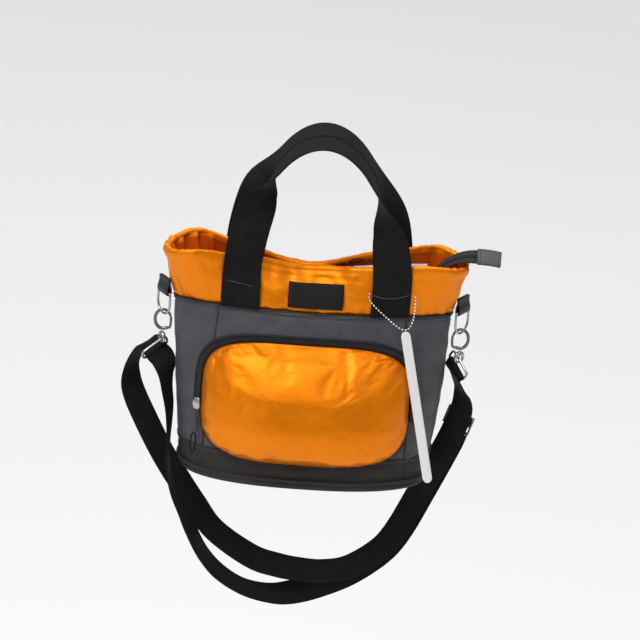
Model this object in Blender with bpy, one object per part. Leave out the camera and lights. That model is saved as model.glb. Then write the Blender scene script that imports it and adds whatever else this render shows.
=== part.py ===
"""Small two-tone tote bag with a padded collar, two webbing handles and a clip-on shoulder strap.

Standalone Blender script: metres, +Z up, +X to the wearer's left-hand end, front facing -Y.
The shapes are worked out in bag coordinates, whose zero is the middle of the base's underside. One
empty then lowers the whole bag, so that the row's origin is the grip, at the top of the handles.
"""

import math

import bmesh
import bpy
from mathutils import Matrix, Vector

MM = 0.001
GAP = 0.3 * MM                       # kept between pieces that touch

# Driving sizes of the shell
GRIP_HEIGHT = 355 * MM               # top of the handles above the base
SEAM_HEIGHT = 178 * MM               # seam between the grey body and the collar
BAND_HEIGHT = 32 * MM
BASE_HALF_WIDTH = 124 * MM
SEAM_HALF_WIDTH = 139.4 * MM
BASE_HALF_DEPTH = 62 * MM
SEAM_HALF_DEPTH = 32 * MM
BASE_ROUNDNESS = 2.4                 # superellipse exponent of the base outline
SEAM_ROUNDNESS = 2.0
WALL = 2.4 * MM
LINING = 0.8 * MM
LINING_GAP = 1.3 * MM                # the lining hangs loose inside the wall
PANEL_SEAM_BASE = math.radians(52)   # where front and side panels meet, low and high on the wall
PANEL_SEAM_TOP = math.radians(42.5)
BASE_PLATE = 2.5 * MM
BOARD = 2.0 * MM
PIPING_RADIUS = 1.6 * MM
PIPING_HEIGHT = 9 * MM

# Collar: a padded roll that is pinched in the middle and stands open at both ends
COLLAR_HALF = 4 * MM                 # half of the collar's thickness
COLLAR_SKIN = 1 * MM
PADDING_GAP = 1.0 * MM
ON_COLLAR = 1.1 * MM                 # clearance of what lies on the collar's curved outside
RIM_HALF_WIDTH = 152.6 * MM
RIM_END_START = 118 * MM             # from here the mouth closes in a half ellipse
RIM_END_GAP = 32 * MM
COLLAR_PUFF = 3.5 * MM
RIM_GAP = [(-118, 32), (-88, 23), (-50, 10), (-10, 4.6), (10, 6), (45, 20), (77, 25), (118, 32)]
RIM_HEIGHT = [(-149, 226), (-120, 233), (-90, 229), (-50, 222), (-20, 216), (5, 216), (40, 221),
              (80, 227), (120, 232), (149, 226)]
STITCH_SHARE = 0.56                  # height of the handle stitching, as a share of the collar

# Handles
HANDLE_CENTRE = 2 * MM
HANDLE_HALF_SPAN = 75 * MM
HANDLE_WIDTH = 39 * MM
HANDLE_THICK = 1.8 * MM
HANDLE_FOOT = 205 * MM               # height of the stitching, and the centre of the arch's ellipse
HANDLE_TOP_Y = 21 * MM
HANDLE_HINGE_Y = 34.5 * MM

# Main zip
ZIP_HEIGHT = 196 * MM
ZIP_SPAN = math.radians(52.6)
ZIP_SLIDER_X = 27 * MM
ZIP_OPEN_X = -25 * MM
ZIP_DROP = 13 * MM
ZIP_CLEAR = 1.5 * MM
TOOTH_WIDTH = 1.9 * MM
TOOTH_HEIGHT = 2.2 * MM
TAIL_WIDTH = 26 * MM

# Front pocket
POCKET_X = -1.5 * MM
POCKET_Z = 86 * MM
POCKET_HALF_WIDTH = 103.5 * MM
POCKET_HALF_HEIGHT = 60 * MM
POCKET_POWER = 3.8
POCKET_BULGE = 30 * MM
POCKET_SKIN = 2 * MM
POCKET_CLEAR = 0.9 * MM
POCKET_SLIDER_Z = 76 * MM

# Side hardware
HOOK_X = 149.2 * MM
SIDE_TURN = math.radians(32)         # the tabs and their rings are turned towards the front
RING_WIRE = 1.35 * MM
TAB_WIDTH = 19 * MM
TAB_THICK = 1.6 * MM
TAB_TOP = 195 * MM
D_BAR_Z = 180 * MM
D_DROP = 24 * MM
D_HALF_WIDTH = 11.7 * MM
D_MIDDLE_Z = D_BAR_Z - D_DROP + D_HALF_WIDTH
CLAW_TOP = 159.9 * MM
CLAW_BOTTOM = 139.4 * MM
CLAW_HALF_WIDTH = 7.9 * MM
CLAW_WIRE = 1.6 * MM
GATE_FOOT = 142.6 * MM
GATE_TIP = 151.6 * MM
EYE_TOP = 136.9 * MM
EYE_DROP = 4.6 * MM
EYE_HALF_WIDTH = 5 * MM
LOOP_WIRE = 1.3 * MM
LOOP_SPAN = 29.8 * MM
LOOP_DEPTH = 11.5 * MM
LOOP_BAR_Z = 128.3 * MM

# Shoulder strap
STRAP_WIDTH = 25 * MM
STRAP_THICK = 1.5 * MM
ADJUSTER_LENGTH = 22 * MM
ADJUSTER_WIDTH = 31 * MM
ADJUSTER_THICK = 2 * MM
ADJUSTER_BEHIND = 3.4 * MM           # from the outer run's middle line to the adjuster's

# Swing tag
TAG_TOP = Vector((93, -38, 168)) * MM
TAG_BOTTOM = Vector((126.5, -54, 14.5)) * MM
TAG_WIDTH = 9.5 * MM
TAG_THICK = 0.8 * MM
CHAIN_RADIUS = 1.2 * MM


def clear_scene():
    for old in list(bpy.data.objects):
        bpy.data.objects.remove(old, do_unlink=True)


def material(name, colour, roughness, metallic=0.0):
    made = bpy.data.materials.new(name)
    made.use_nodes = True
    shader = made.node_tree.nodes["Principled BSDF"]
    shader.inputs["Base Color"].default_value = (*colour, 1)
    shader.inputs["Roughness"].default_value = roughness
    shader.inputs["Metallic"].default_value = metallic
    return made


def body(name, at=(0, 0, 0)):
    """An empty on a moving body's joint axis, in bag coordinates."""
    empty = bpy.data.objects.new(name, None)
    bpy.context.scene.collection.objects.link(empty)
    empty.location = Vector(at) - Vector((0, 0, GRIP_HEIGHT))
    return empty


def add_piece(name, mesh, finish, parent, at=(0, 0, 0)):
    """Puts a mesh made in bag coordinates on the body whose empty stands at the point at."""
    mesh.transform(Matrix.Translation(-Vector(at)))
    mesh.materials.append(finish)
    piece = bpy.data.objects.new(name, mesh)
    bpy.context.scene.collection.objects.link(piece)
    piece.parent = parent
    return piece


def loft(name, loops, closed=False):
    """A closed solid through rings of points; closed joins the last ring to the first."""
    work = bmesh.new()
    rings = [[work.verts.new(point) for point in loop] for loop in loops]
    pairs = list(zip(rings, rings[1:] + rings[:1])) if closed else list(zip(rings, rings[1:]))
    for low, high in pairs:
        for i in range(len(low)):
            j = (i + 1) % len(low)
            # One rule for the diagonals, so that surfaces laid over each other stay parallel
            if low[i].co.z <= low[j].co.z:
                triangles = (low[i], low[j], high[j]), (low[i], high[j], high[i])
            else:
                triangles = (low[i], low[j], high[i]), (low[j], high[j], high[i])
            for triangle in triangles:
                work.faces.new(triangle)
    if not closed:
        work.faces.new(rings[0][::-1])
        work.faces.new(rings[-1])
    bmesh.ops.recalc_face_normals(work, faces=work.faces)
    mesh = bpy.data.meshes.new(name)
    work.to_mesh(mesh)
    work.free()
    mesh.shade_smooth()
    mesh.set_sharp_from_angle(angle=math.radians(40))
    return mesh


def spread(low, high, count):
    return [low + (high - low) * i / (count - 1) for i in range(count)]


def blend(low, high, share):
    return low + (high - low) * share


def ease(share):
    share = min(max(share, 0.0), 1.0)
    return share * share * (3 - 2 * share)


def signed_power(value, power):
    return math.copysign(abs(value) ** power, value)


def through(stations, x):
    """A smooth curve through (x, y) stations in millimetres, read at x in metres."""
    at = x / MM
    if at <= stations[0][0]:
        return stations[0][1] * MM
    for i in range(len(stations) - 1):
        (x0, y0), (x1, y1) = stations[i], stations[i + 1]
        if at <= x1:
            return blend(y0, y1, ease((at - x0) / (x1 - x0))) * MM
    return stations[-1][1] * MM


def smooth_route(points, per_span):
    """Catmull-Rom curve through vectors, with per_span steps between neighbours."""
    ends = [points[0] * 2 - points[1]] + list(points) + [points[-1] * 2 - points[-2]]
    route = []
    for i in range(1, len(ends) - 2):
        a, b, c, d = ends[i - 1], ends[i], ends[i + 1], ends[i + 2]
        for k in range(per_span):
            t = k / per_span
            route.append(b + (c - a) * (t / 2) + (a * 2 - b * 5 + c * 4 - d) * (t * t / 2)
                         + (b * 3 - a - c * 3 + d) * (t * t * t / 2))
    route.append(points[-1].copy())
    return route


def tangents(route, closed=False):
    found = []
    last = len(route) - 1
    for i in range(len(route)):
        before = route[i - 1] if i or closed else route[0]
        after = route[(i + 1) % len(route)] if i < last or closed else route[last]
        found.append((after - before).normalized())
    return found


def wire(name, route, radii, side, closed=True, sides=8):
    """A round wire along a route whose own plane has the normal side."""
    radii = radii if isinstance(radii, list) else [radii] * len(route)
    side = Vector(side).normalized()
    loops = []
    for point, along, radius in zip(route, tangents(route, closed), radii):
        flat = along.cross(side).normalized()
        turn = [2 * math.pi * (i + 0.5) / sides for i in range(sides)]
        loops.append([point + (flat * math.cos(t) + side * math.sin(t)) * radius for t in turn])
    return loft(name, loops, closed)


def ribbon(name, route, across, width, thick):
    """A flat strip along a route; across holds the direction of its width at each point."""
    loops = []
    for point, along, wide in zip(route, tangents(route), across):
        wide = (wide - along * wide.dot(along)).normalized()
        up = along.cross(wide)
        corners = ((-1, -1), (1, -1), (1, 1), (-1, 1))
        loops.append([point + wide * (a * width / 2) + up * (b * thick / 2) for a, b in corners])
    return loft(name, loops)


# ---------------------------------------------------------------- shell outlines

def half_width(z):
    share = z / SEAM_HEIGHT
    return blend(BASE_HALF_WIDTH, SEAM_HALF_WIDTH, share) + 1.2 * MM * math.sin(math.pi * share)


def half_depth(z):
    return blend(BASE_HALF_DEPTH, SEAM_HALF_DEPTH, (max(z, 0) / SEAM_HEIGHT) ** 1.2)


def roundness(z):
    return blend(BASE_ROUNDNESS, SEAM_ROUNDNESS, z / SEAM_HEIGHT)


def wall_point(turn, z, out=0.0):
    """Point of the wall at an angle from the middle of the front, out metres proud of it."""
    power = 2 / roundness(z)
    x = (half_width(z) + out) * signed_power(math.sin(turn), power)
    y = -(half_depth(z) + out) * signed_power(math.cos(turn), power)
    return Vector((x, y, z))


def front_point(x, z, out=0.0):
    """Point of the front wall at a given x and z, out metres proud of it."""
    n = roundness(z)
    share = min(abs(x) / (half_width(z) + out), 0.999)
    return Vector((x, -(half_depth(z) + out) * (1 - share ** n) ** (1 / n), z))


def panel_seam(z):
    return blend(PANEL_SEAM_BASE, PANEL_SEAM_TOP, z / SEAM_HEIGHT)


def wall_panel(name, start, end, count):
    """One sewn panel of the wall; start and end give its side seams' angles at a height."""
    heights = spread(BAND_HEIGHT + GAP, SEAM_HEIGHT - GAP, 6)
    slit = 0.15 * MM / BASE_HALF_WIDTH
    loops = []
    for share in spread(0, 1, count):
        turns = [blend(start(z) + slit, end(z) - slit, share) for z in heights]
        outer = [wall_point(t, z) for t, z in zip(turns, heights)]
        inner = [wall_point(t, z, -WALL) for t, z in zip(turns, heights)]
        loops.append(outer + inner[::-1])
    return loft(name, loops)


def ring_loop(z, out, count=48):
    return [wall_point(2 * math.pi * i / count, z, out) for i in range(count)]


def plate(name, low, high, out):
    return loft(name, [ring_loop(low, out), ring_loop(high, out)])


def base_band(name):
    turns = [2 * math.pi * i / 48 for i in range(48)]
    loops = []
    for t in turns:
        outer = [wall_point(t, z) for z in (0, BAND_HEIGHT / 2, BAND_HEIGHT)]
        inner = [wall_point(t, z, -WALL) for z in (BAND_HEIGHT, 0)]
        loops.append(outer + inner)
    return loft(name, loops, closed=True)


def base_piping(name):
    route = ring_loop(PIPING_HEIGHT, PIPING_RADIUS + GAP)
    return wire(name, route, PIPING_RADIUS, (0, 0, 1), sides=6)


def lining(name):
    heights = [BASE_PLATE + BOARD + 2 * GAP, 50 * MM, 100 * MM, 140 * MM, SEAM_HEIGHT - GAP]
    outer = [ring_loop(z, -WALL - LINING_GAP) for z in heights]
    heights[0] += LINING
    inner = [ring_loop(z, -WALL - LINING_GAP - LINING) for z in heights]
    return loft(name, outer + inner[::-1])


# ---------------------------------------------------------------- collar

def rim_gap(x):
    """Half of the mouth's width at x, to the middle of the collar's thickness."""
    reach = (RIM_HALF_WIDTH - COLLAR_HALF) - RIM_END_START
    past = abs(x) - RIM_END_START
    if past > 0:
        return RIM_END_GAP * math.sqrt(max(1 - (past / reach) ** 2, 0))
    return through(RIM_GAP, x)


def collar_point(turn, share, out):
    """Point of the collar: share runs up from the seam to the rim, out from its mid surface."""
    sine, cosine = math.sin(turn), math.cos(turn)
    rim_x = (RIM_HALF_WIDTH - COLLAR_HALF) * sine
    seam = Vector(((SEAM_HALF_WIDTH - COLLAR_HALF) * sine,
                   -(SEAM_HALF_DEPTH - COLLAR_HALF) * cosine, SEAM_HEIGHT))
    rim = Vector((rim_x, -math.copysign(rim_gap(rim_x), cosine), through(RIM_HEIGHT, rim_x)))
    puff = COLLAR_PUFF * 4 * share * (1 - share) * cosine * cosine
    return seam.lerp(rim, share) + Vector((sine, -cosine, 0)) * (out + puff)


def collar_profile(turn, radius, start):
    """Up the outside of the collar, over the rim and down the inside."""
    normal = Vector((math.sin(turn), -math.cos(turn), 0))
    shares = [start, 0.35, 0.7, 1]
    rim = collar_point(turn, 1, 0)
    over = [rim + (normal * math.cos(a) + Vector((0, 0, 1)) * math.sin(a)) * radius
            for a in (math.pi / 4, math.pi / 2, 3 * math.pi / 4)]
    outside = [collar_point(turn, s, radius) for s in shares]
    inside = [collar_point(turn, s, -radius) for s in reversed(shares)]
    return outside + over + inside


def collar_turns(back):
    edge = math.radians(89.5)
    middle = math.pi if back else 0
    return [middle + t for t in spread(-edge, edge, 27)]


def collar_shell(name, back):
    """The collar's fabric, folded over the padding, open along its lower edge."""
    loops = []
    for turn in collar_turns(back):
        outside = collar_profile(turn, COLLAR_HALF, 0)
        loops.append(outside + collar_profile(turn, COLLAR_HALF - COLLAR_SKIN, 0)[::-1])
    return loft(name, loops)


def collar_padding(name, back):
    radius = COLLAR_HALF - COLLAR_SKIN - PADDING_GAP
    return loft(name, [collar_profile(turn, radius, 0.03) for turn in collar_turns(back)])


def collar_at(x, share, out, side):
    """Point of the outer collar at a given x; side is -1 for the front and 1 for the back."""
    reach = blend(SEAM_HALF_WIDTH, RIM_HALF_WIDTH, share) - COLLAR_HALF + out
    turn = math.asin(x / reach)
    point = collar_point(turn, share, out)
    return Vector((x, -side * point.y, point.z))


def collar_strip(x_middle, width, share, low, side, steps=5):
    """One row across a strip that lies on the collar, low to low plus its thickness."""
    offsets = spread(-width / 2, width / 2, steps)
    thick = HANDLE_THICK
    near = [collar_at(x_middle + k, share, low, side) for k in offsets]
    far = [collar_at(x_middle + k, share, low + thick, side) for k in offsets]
    return far + near[::-1]


def label_patch(name):
    shares = spread(0.13, 0.73, 3)
    loops = []
    for x in spread(-25 * MM, 29 * MM, 5):
        low, high = COLLAR_HALF + ON_COLLAR, COLLAR_HALF + ON_COLLAR + 1 * MM
        outer = [collar_at(x, s, high, -1) for s in shares]
        inner = [collar_at(x, s, low, -1) for s in shares]
        loops.append(outer + inner[::-1])
    return loft(name, loops)


# ---------------------------------------------------------------- handles

def strand_x(end):
    return HANDLE_CENTRE + end * HANDLE_HALF_SPAN


def handle_end(name, end, side):
    """The stretch of a handle that is sewn flat to the collar; end is -1 left, 1 right."""
    shares = spread(0.02, STITCH_SHARE - 0.01, 4)
    low = COLLAR_HALF + ON_COLLAR
    return loft(name, [collar_strip(strand_x(end), HANDLE_WIDTH, s, low, side) for s in shares])


def arch_row(angle, side):
    """A row of the arch above the rim: angle runs from 0 at the left foot to pi at the right."""
    end = -1 if angle < math.pi / 2 else 1
    rise = math.degrees(min(angle, math.pi - angle))
    top = GRIP_HEIGHT - HANDLE_THICK / 2
    rise_height = top - HANDLE_FOOT
    foot = COLLAR_HALF + ON_COLLAR + HANDLE_THICK / 2
    outer = collar_at(strand_x(end) + end * HANDLE_WIDTH / 2, 1, foot, side)
    inner = collar_at(strand_x(end) - end * HANDLE_WIDTH / 2, 1, foot, side)
    foot_y = abs(outer.y + inner.y) / 2 + 2.5 * MM
    middle = Vector((HANDLE_CENTRE - HANDLE_HALF_SPAN * math.cos(angle),
                     side * blend(foot_y, HANDLE_TOP_Y, ease(rise / 60)),
                     HANDLE_FOOT + rise_height * math.sin(angle)))
    along = Vector((HANDLE_HALF_SPAN * math.sin(angle), 0, rise_height * math.cos(angle)))
    along.normalize()
    wide = (inner - outer) * Vector((1, 1, 0))
    wide = wide.normalized().lerp(Vector((-end, 0, 0)), ease(rise / 25))
    first, span = (22, 34) if end < 0 else (2, 50)
    wide = wide.lerp(Vector((0, -side, 0)), ease((rise - first) / span))
    wide = (wide - along * wide.dot(along)).normalized()
    face = along.cross(wide) * (side * HANDLE_THICK / 2)
    places = [middle + wide * k for k in spread(-HANDLE_WIDTH / 2, HANDLE_WIDTH / 2, 5)]
    return [p + face for p in places] + [p - face for p in reversed(places)]


def handle_arch(name, side):
    """The free part of a handle, from its stitching over the grip to the other stitching."""
    stations = [(STITCH_SHARE + 0.01, 0), (0.75, 0.4 * MM), (0.92, 0.8 * MM)]
    low = COLLAR_HALF + ON_COLLAR
    left = [collar_strip(strand_x(-1), HANDLE_WIDTH, s, low + more, side) for s, more in stations]
    right = [collar_strip(strand_x(1), HANDLE_WIDTH, s, low + more, side)
             for s, more in reversed(stations)]
    right = [row[:5][::-1] + row[5:][::-1] for row in right]
    angles = [math.radians(a) for a in (10, 15, 20, 25, 30, 35, 40, 45, 50, 55, 60, 70, 80)]
    rows = [arch_row(a, side) for a in angles] + [arch_row(math.pi / 2, side)]
    rows += [arch_row(math.pi - a, side) for a in reversed(angles)]
    return loft(name, left + rows + right)


# ---------------------------------------------------------------- main zip

def zip_edges(turn, side):
    """Where the zip's cloth leaves the collar, and its free edge: shut on the right, open left."""
    rim_x = (RIM_HALF_WIDTH - COLLAR_HALF) * math.sin(turn)
    share = (ZIP_HEIGHT - SEAM_HEIGHT) / (through(RIM_HEIGHT, rim_x) - SEAM_HEIGHT)
    wall = collar_point(turn, share, -COLLAR_HALF - ZIP_CLEAR)
    low = collar_point(turn, share * (1 - ZIP_DROP / (ZIP_HEIGHT - SEAM_HEIGHT)), -COLLAR_HALF)
    shut = Vector((wall.x, -TOOTH_WIDTH - 4 * GAP, ZIP_HEIGHT))
    hung = Vector((wall.x, max(low.y, wall.y) + 4.5 * MM, ZIP_HEIGHT - ZIP_DROP))
    slack = ease((ZIP_SLIDER_X - wall.x) / (ZIP_SLIDER_X - ZIP_OPEN_X))
    free = shut.lerp(hung, slack)
    mirror = Vector((1, -side, 1))
    return wall * mirror, free * mirror


def zip_strip(name, side, start, width, thick):
    """A strip along the zip's free edge, start metres past the edge, or the cloth itself."""
    loops = []
    for turn in spread(-ZIP_SPAN, ZIP_SPAN, 23):
        wall, free = zip_edges(turn, side)
        inwards = (free - wall).normalized()
        up = Vector((0, -inwards.z, inwards.y))
        near = wall if width is None else free + inwards * start
        far = free if width is None else near + inwards * width
        half = up * (thick / 2)
        loops.append([near - half, far - half, far + half, near + half])
    return loft(name, loops)


def zip_slider(name):
    """Slider body: a nosed plate with a raised bridge, running on top of the teeth."""
    low = ZIP_HEIGHT + TOOTH_HEIGHT / 2 + GAP
    shape = ((-7, 2.6, 2.0), (-5, 4.4, 2.2), (-1, 4.5, 3.4), (3, 4.3, 3.4), (6, 3.4, 2.2), (7, 2.2, 2))
    loops = []
    for dx, half, tall in shape:
        x, half, top = ZIP_SLIDER_X + dx * MM, half * MM, low + tall * MM
        loops.append([Vector((x, -half, low)), Vector((x, half, low)),
                      Vector((x, half, top - 0.7 * MM)), Vector((x, half * 0.6, top)),
                      Vector((x, -half * 0.6, top)), Vector((x, -half, top - 0.7 * MM))])
    return loft(name, loops)


def main_pull_pivot():
    return Vector((ZIP_SLIDER_X + 9 * MM, 0, ZIP_HEIGHT + 4.6 * MM))


def flat_pull(name, pivot, along, across, length, thick=1.2 * MM):
    """A zip puller: a slim tab that widens towards its rounded end."""
    up = along.cross(across).normalized()
    shape = ((0.03, 1.6), (0.3, 1.7), (0.6, 2.4), (0.92, 2.7), (1.0, 1.8))
    loops = []
    for share, half in shape:
        middle = pivot + along * (share * length)
        corners = ((-1, -1), (1, -1), (1, 1), (-1, 1))
        loops.append([middle + across * (a * half * MM) + up * (b * thick / 2) for a, b in corners])
    return loft(name, loops)


def tail_width_way(x):
    """Direction of the tail's width: it rolls towards the front past the rim."""
    roll = math.radians(9) * ease((x - 128 * MM) / (34 * MM))
    return Vector((0, math.cos(roll), math.sin(roll)))


def zip_tail(name):
    points = [(119, 0, 196.5), (118, 0, 206), (120, 0, 217), (127, 0, 227), (138, 0, 234),
              (149, 0, 237.4), (160, 0, 238.3)]
    route = smooth_route([Vector(p) * MM for p in points], 2)
    return ribbon(name, route, [tail_width_way(p.x) for p in route], TAIL_WIDTH, 2 * MM)


def zip_end_tab(name):
    route = [Vector((x, 0, z)) * MM for x, z in ((161.2, 238.3), (172, 238), (183.5, 236.4))]
    return ribbon(name, route, [tail_width_way(p.x) for p in route], TAIL_WIDTH + 3 * MM, 4 * MM)


# ---------------------------------------------------------------- front pocket

def pocket_edge(angle, grow):
    """x and z of the pocket's outline, grown outwards by grow."""
    power = 2 / POCKET_POWER
    x = POCKET_X + (POCKET_HALF_WIDTH + grow) * signed_power(math.cos(angle), power)
    z = POCKET_Z + (POCKET_HALF_HEIGHT + grow) * signed_power(math.sin(angle), power)
    return x, z


def pocket_loop(share, height, out, count=40):
    """Ring of the pillow: share of the outline's size, raised height from the wall."""
    ring = []
    for i in range(count):
        x, z = pocket_edge(2 * math.pi * (i + 0.5) / count, 0)
        x, z = POCKET_X + (x - POCKET_X) * share, POCKET_Z + (z - POCKET_Z) * share
        ring.append(front_point(x, z, out) - Vector((0, height, 0)))
    return ring


def pocket_panel(name):
    """The pocket's puffed front, hollow behind, resting on the wall along its edge."""
    shares = (1.0, 0.97, 0.9, 0.76, 0.55, 0.25)
    rise = [POCKET_BULGE * (1 - s ** 3) ** 0.6 for s in shares]
    outer = [pocket_loop(s, h + POCKET_SKIN, POCKET_CLEAR) for s, h in zip(shares, rise)]
    inner = [pocket_loop(s * 0.985, h, POCKET_CLEAR) for s, h in zip(shares, rise)]
    return loft(name, inner[::-1] + outer)


def pocket_strip(name, near, far, low, high):
    """A strip along the zip line, from near to far outside the pillow and low to high."""
    loops = []
    for angle in spread(math.radians(-4), math.radians(184), 45):
        inner, outer = pocket_edge(angle, near), pocket_edge(angle, far)
        loops.append([front_point(*inner, low), front_point(*outer, low),
                      front_point(*outer, high), front_point(*inner, high)])
    return loft(name, loops)


def pocket_zip_frame():
    """Place, upward run and outward normal of the pocket zip at its slider."""
    def at(z, out):
        angle = math.pi - math.asin(signed_power((z - POCKET_Z) / POCKET_HALF_HEIGHT,
                                                 POCKET_POWER / 2))
        x = pocket_edge(angle, 4 * MM)[0]
        return front_point(x, z, out)
    place = at(POCKET_SLIDER_Z, 3.6 * MM)
    up = (at(POCKET_SLIDER_Z + 35 * MM, 3.6 * MM) - place).normalized()
    near = front_point(place.x - 2 * MM, place.z, 0)
    far = front_point(place.x + 2 * MM, place.z, 0)
    across = (far - near).normalized()
    across = (across - up * across.dot(up)).normalized()
    normal = across.cross(up).normalized()
    return place, up, across, normal


def pocket_slider(name):
    place, up, across, normal = pocket_zip_frame()
    shape = ((-6, 2.2, 2.0), (-4, 3.8, 2.2), (0, 4.0, 3.2), (3, 3.6, 3.2), (6, 2.4, 2.0))
    loops = []
    for run, half, tall in shape:
        middle = place + up * (run * MM)
        corners = ((-half, 0), (half, 0), (half, tall), (-half, tall))
        loops.append([middle + across * (a * MM) + normal * (b * MM) for a, b in corners])
    return loft(name, loops)


def pocket_pull_pivot():
    place, up, across, normal = pocket_zip_frame()
    return place - up * (7.2 * MM) + normal * (1.8 * MM)


def pocket_pull(name):
    place, up, across, normal = pocket_zip_frame()
    return flat_pull(name, pocket_pull_pivot(), -up, across, 22 * MM)


def pocket_pull_cord(name):
    """The cord loop in the puller's end, a slim closed loop."""
    place, up, across, normal = pocket_zip_frame()
    middle = pocket_pull_pivot() - up * (34 * MM)
    route = []
    for i in range(16):
        angle = 2 * math.pi * i / 16
        route.append(middle + across * (3 * MM * math.cos(angle)) + up * (11 * MM * math.sin(angle)))
    return wire(name, route, 0.8 * MM, normal, sides=6)


# ---------------------------------------------------------------- side hardware

def side_way(end):
    """Directions out of a tab's face and along its ring's bar."""
    out = Vector((end * math.cos(SIDE_TURN), -math.sin(SIDE_TURN), 0))
    return out, out.cross(Vector((0, 0, 1)))


def side_tab(name, end):
    """A leather loop round the D-ring's bar, both legs lying together above it."""
    out, bar = side_way(end)
    reach = RING_WIRE + GAP + TAB_THICK / 2
    close = TAB_THICK / 2 + GAP / 2
    legs = [Vector((-close, 0, TAB_TOP)), Vector((-close, 0, D_BAR_Z + 9 * MM)),
            Vector((-reach, 0, D_BAR_Z + 3.5 * MM))]
    under = []
    for i in range(7):
        angle = math.pi + math.pi * i / 6
        under.append(Vector((reach * math.cos(angle), 0, D_BAR_Z + reach * math.sin(angle))))
    mirrored = [Vector((-p.x, 0, p.z)) for p in reversed(legs)]
    hook = Vector((end * HOOK_X, 0, 0))
    route = [hook + out * p.x + Vector((0, 0, p.z)) for p in legs + under + mirrored]
    return ribbon(name, route, [bar] * len(route), TAB_WIDTH, TAB_THICK)


def d_ring(name, end):
    """Half circle below, on which the claw slides, two straight arms and the bar in the tab."""
    places = []
    for i in range(17):
        angle = math.pi * i / 16
        places.append((math.cos(angle), D_MIDDLE_Z - D_HALF_WIDTH * math.sin(angle)))
    arm = (D_MIDDLE_Z + D_BAR_Z) / 2
    shoulder = D_BAR_Z - 1.2 * MM
    places += [(-1, arm), (-0.97, shoulder), (-0.85, D_BAR_Z), (-0.5, D_BAR_Z), (0, D_BAR_Z),
               (0.5, D_BAR_Z), (0.85, D_BAR_Z), (0.97, shoulder), (1, arm)]
    out, bar = side_way(end)
    hook = Vector((end * HOOK_X, 0, 0))
    route = [hook + bar * (D_HALF_WIDTH * share) + Vector((0, 0, z)) for share, z in places]
    return wire(name, route, RING_WIRE, out)


def claw(name, end):
    """Hook of the snap: up the outer side, over the D-ring and down to its tip."""
    middle = (CLAW_TOP + CLAW_BOTTOM) / 2
    half_height = (CLAW_TOP - CLAW_BOTTOM) / 2
    route, radii = [], []
    for i in range(23):
        angle = math.radians(-112 + 300 * i / 22)
        x = end * (HOOK_X + CLAW_HALF_WIDTH * math.cos(angle))
        route.append(Vector((x, 0, middle + half_height * math.sin(angle))))
        radii.append(CLAW_WIRE * (1.25 - 0.35 * i / 22))
    start = Vector((end * (HOOK_X - 6.0 * MM), 0, CLAW_BOTTOM + 1.1 * MM))
    return wire(name, [start] + route[:21], [CLAW_WIRE] + radii[:21], (0, 1, 0), closed=False)


def gate(name, end):
    """The snap's spring gate, a short rod across the claw's opening."""
    x_foot = end * (HOOK_X - CLAW_HALF_WIDTH + 0.2 * MM)
    x_tip = end * (HOOK_X - CLAW_HALF_WIDTH)
    route = [Vector((x_foot, 0, GATE_FOOT)), Vector((x_foot, 0, (GATE_FOOT + GATE_TIP) / 2)),
             Vector((x_tip, 0, GATE_TIP))]
    return wire(name, route, [1.1 * MM, 1.0 * MM, 0.9 * MM], (0, 1, 0), closed=False)


def swivel(name, end):
    """The snap's swivel: a thick boss over an eye that is turned to the strap loop's bar."""
    boss, thin = 3.0 * MM, 1.3 * MM
    middle = Vector((end * HOOK_X, 0, EYE_TOP - boss - EYE_DROP))
    bar = loop_frame(end)[1]
    through_eye = Vector((bar.x, bar.y, 0)).normalized()
    sideways = through_eye.cross(Vector((0, 0, 1)))
    route, radii = [], []
    for i in range(20):
        angle = 2 * math.pi * i / 20
        high = (1 + math.cos(angle)) / 2
        rise = Vector((0, 0, EYE_DROP * math.cos(angle)))
        route.append(middle + sideways * (EYE_HALF_WIDTH * math.sin(angle)) + rise)
        radii.append(blend(thin, boss, high ** 3))
    return wire(name, route, radii, through_eye)


def loop_frame(end):
    """Middle of the strap loop's eye bar, the bar's direction and the way the loop hangs."""
    along = Vector((0.76, 0.40, 0.52) if end < 0 else (0.50, -0.60, -0.62)).normalized()
    hang = Vector((-0.3, 0.2, -0.9) if end < 0 else (0, 0, -1))
    down = (hang - along * hang.dot(along)).normalized()
    shift = -10 * MM if end < 0 else 4 * MM
    eye = Vector((end * HOOK_X, 0, LOOP_BAR_Z))
    return eye + along * shift, along, down


def strap_loop(name, end):
    """Wire loop between swivel and strap, a rounded rectangle."""
    middle, along, down = loop_frame(end)
    corner = 2.6 * MM
    centres = ((1, 0), (1, 1), (-1, 1), (-1, 0))
    route = []
    for index, (a, b) in enumerate(centres):
        at = (middle + along * (a * (LOOP_SPAN / 2 - corner))
              + down * (corner + b * (LOOP_DEPTH - 2 * corner)))
        for step in (0, 0.5, 1):
            angle = math.pi / 2 * (index - 1 + step)
            route.append(at + (along * math.cos(angle) + down * math.sin(angle)) * corner)
    return wire(name, route, LOOP_WIRE, along.cross(down))


# ---------------------------------------------------------------- shoulder strap

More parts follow.
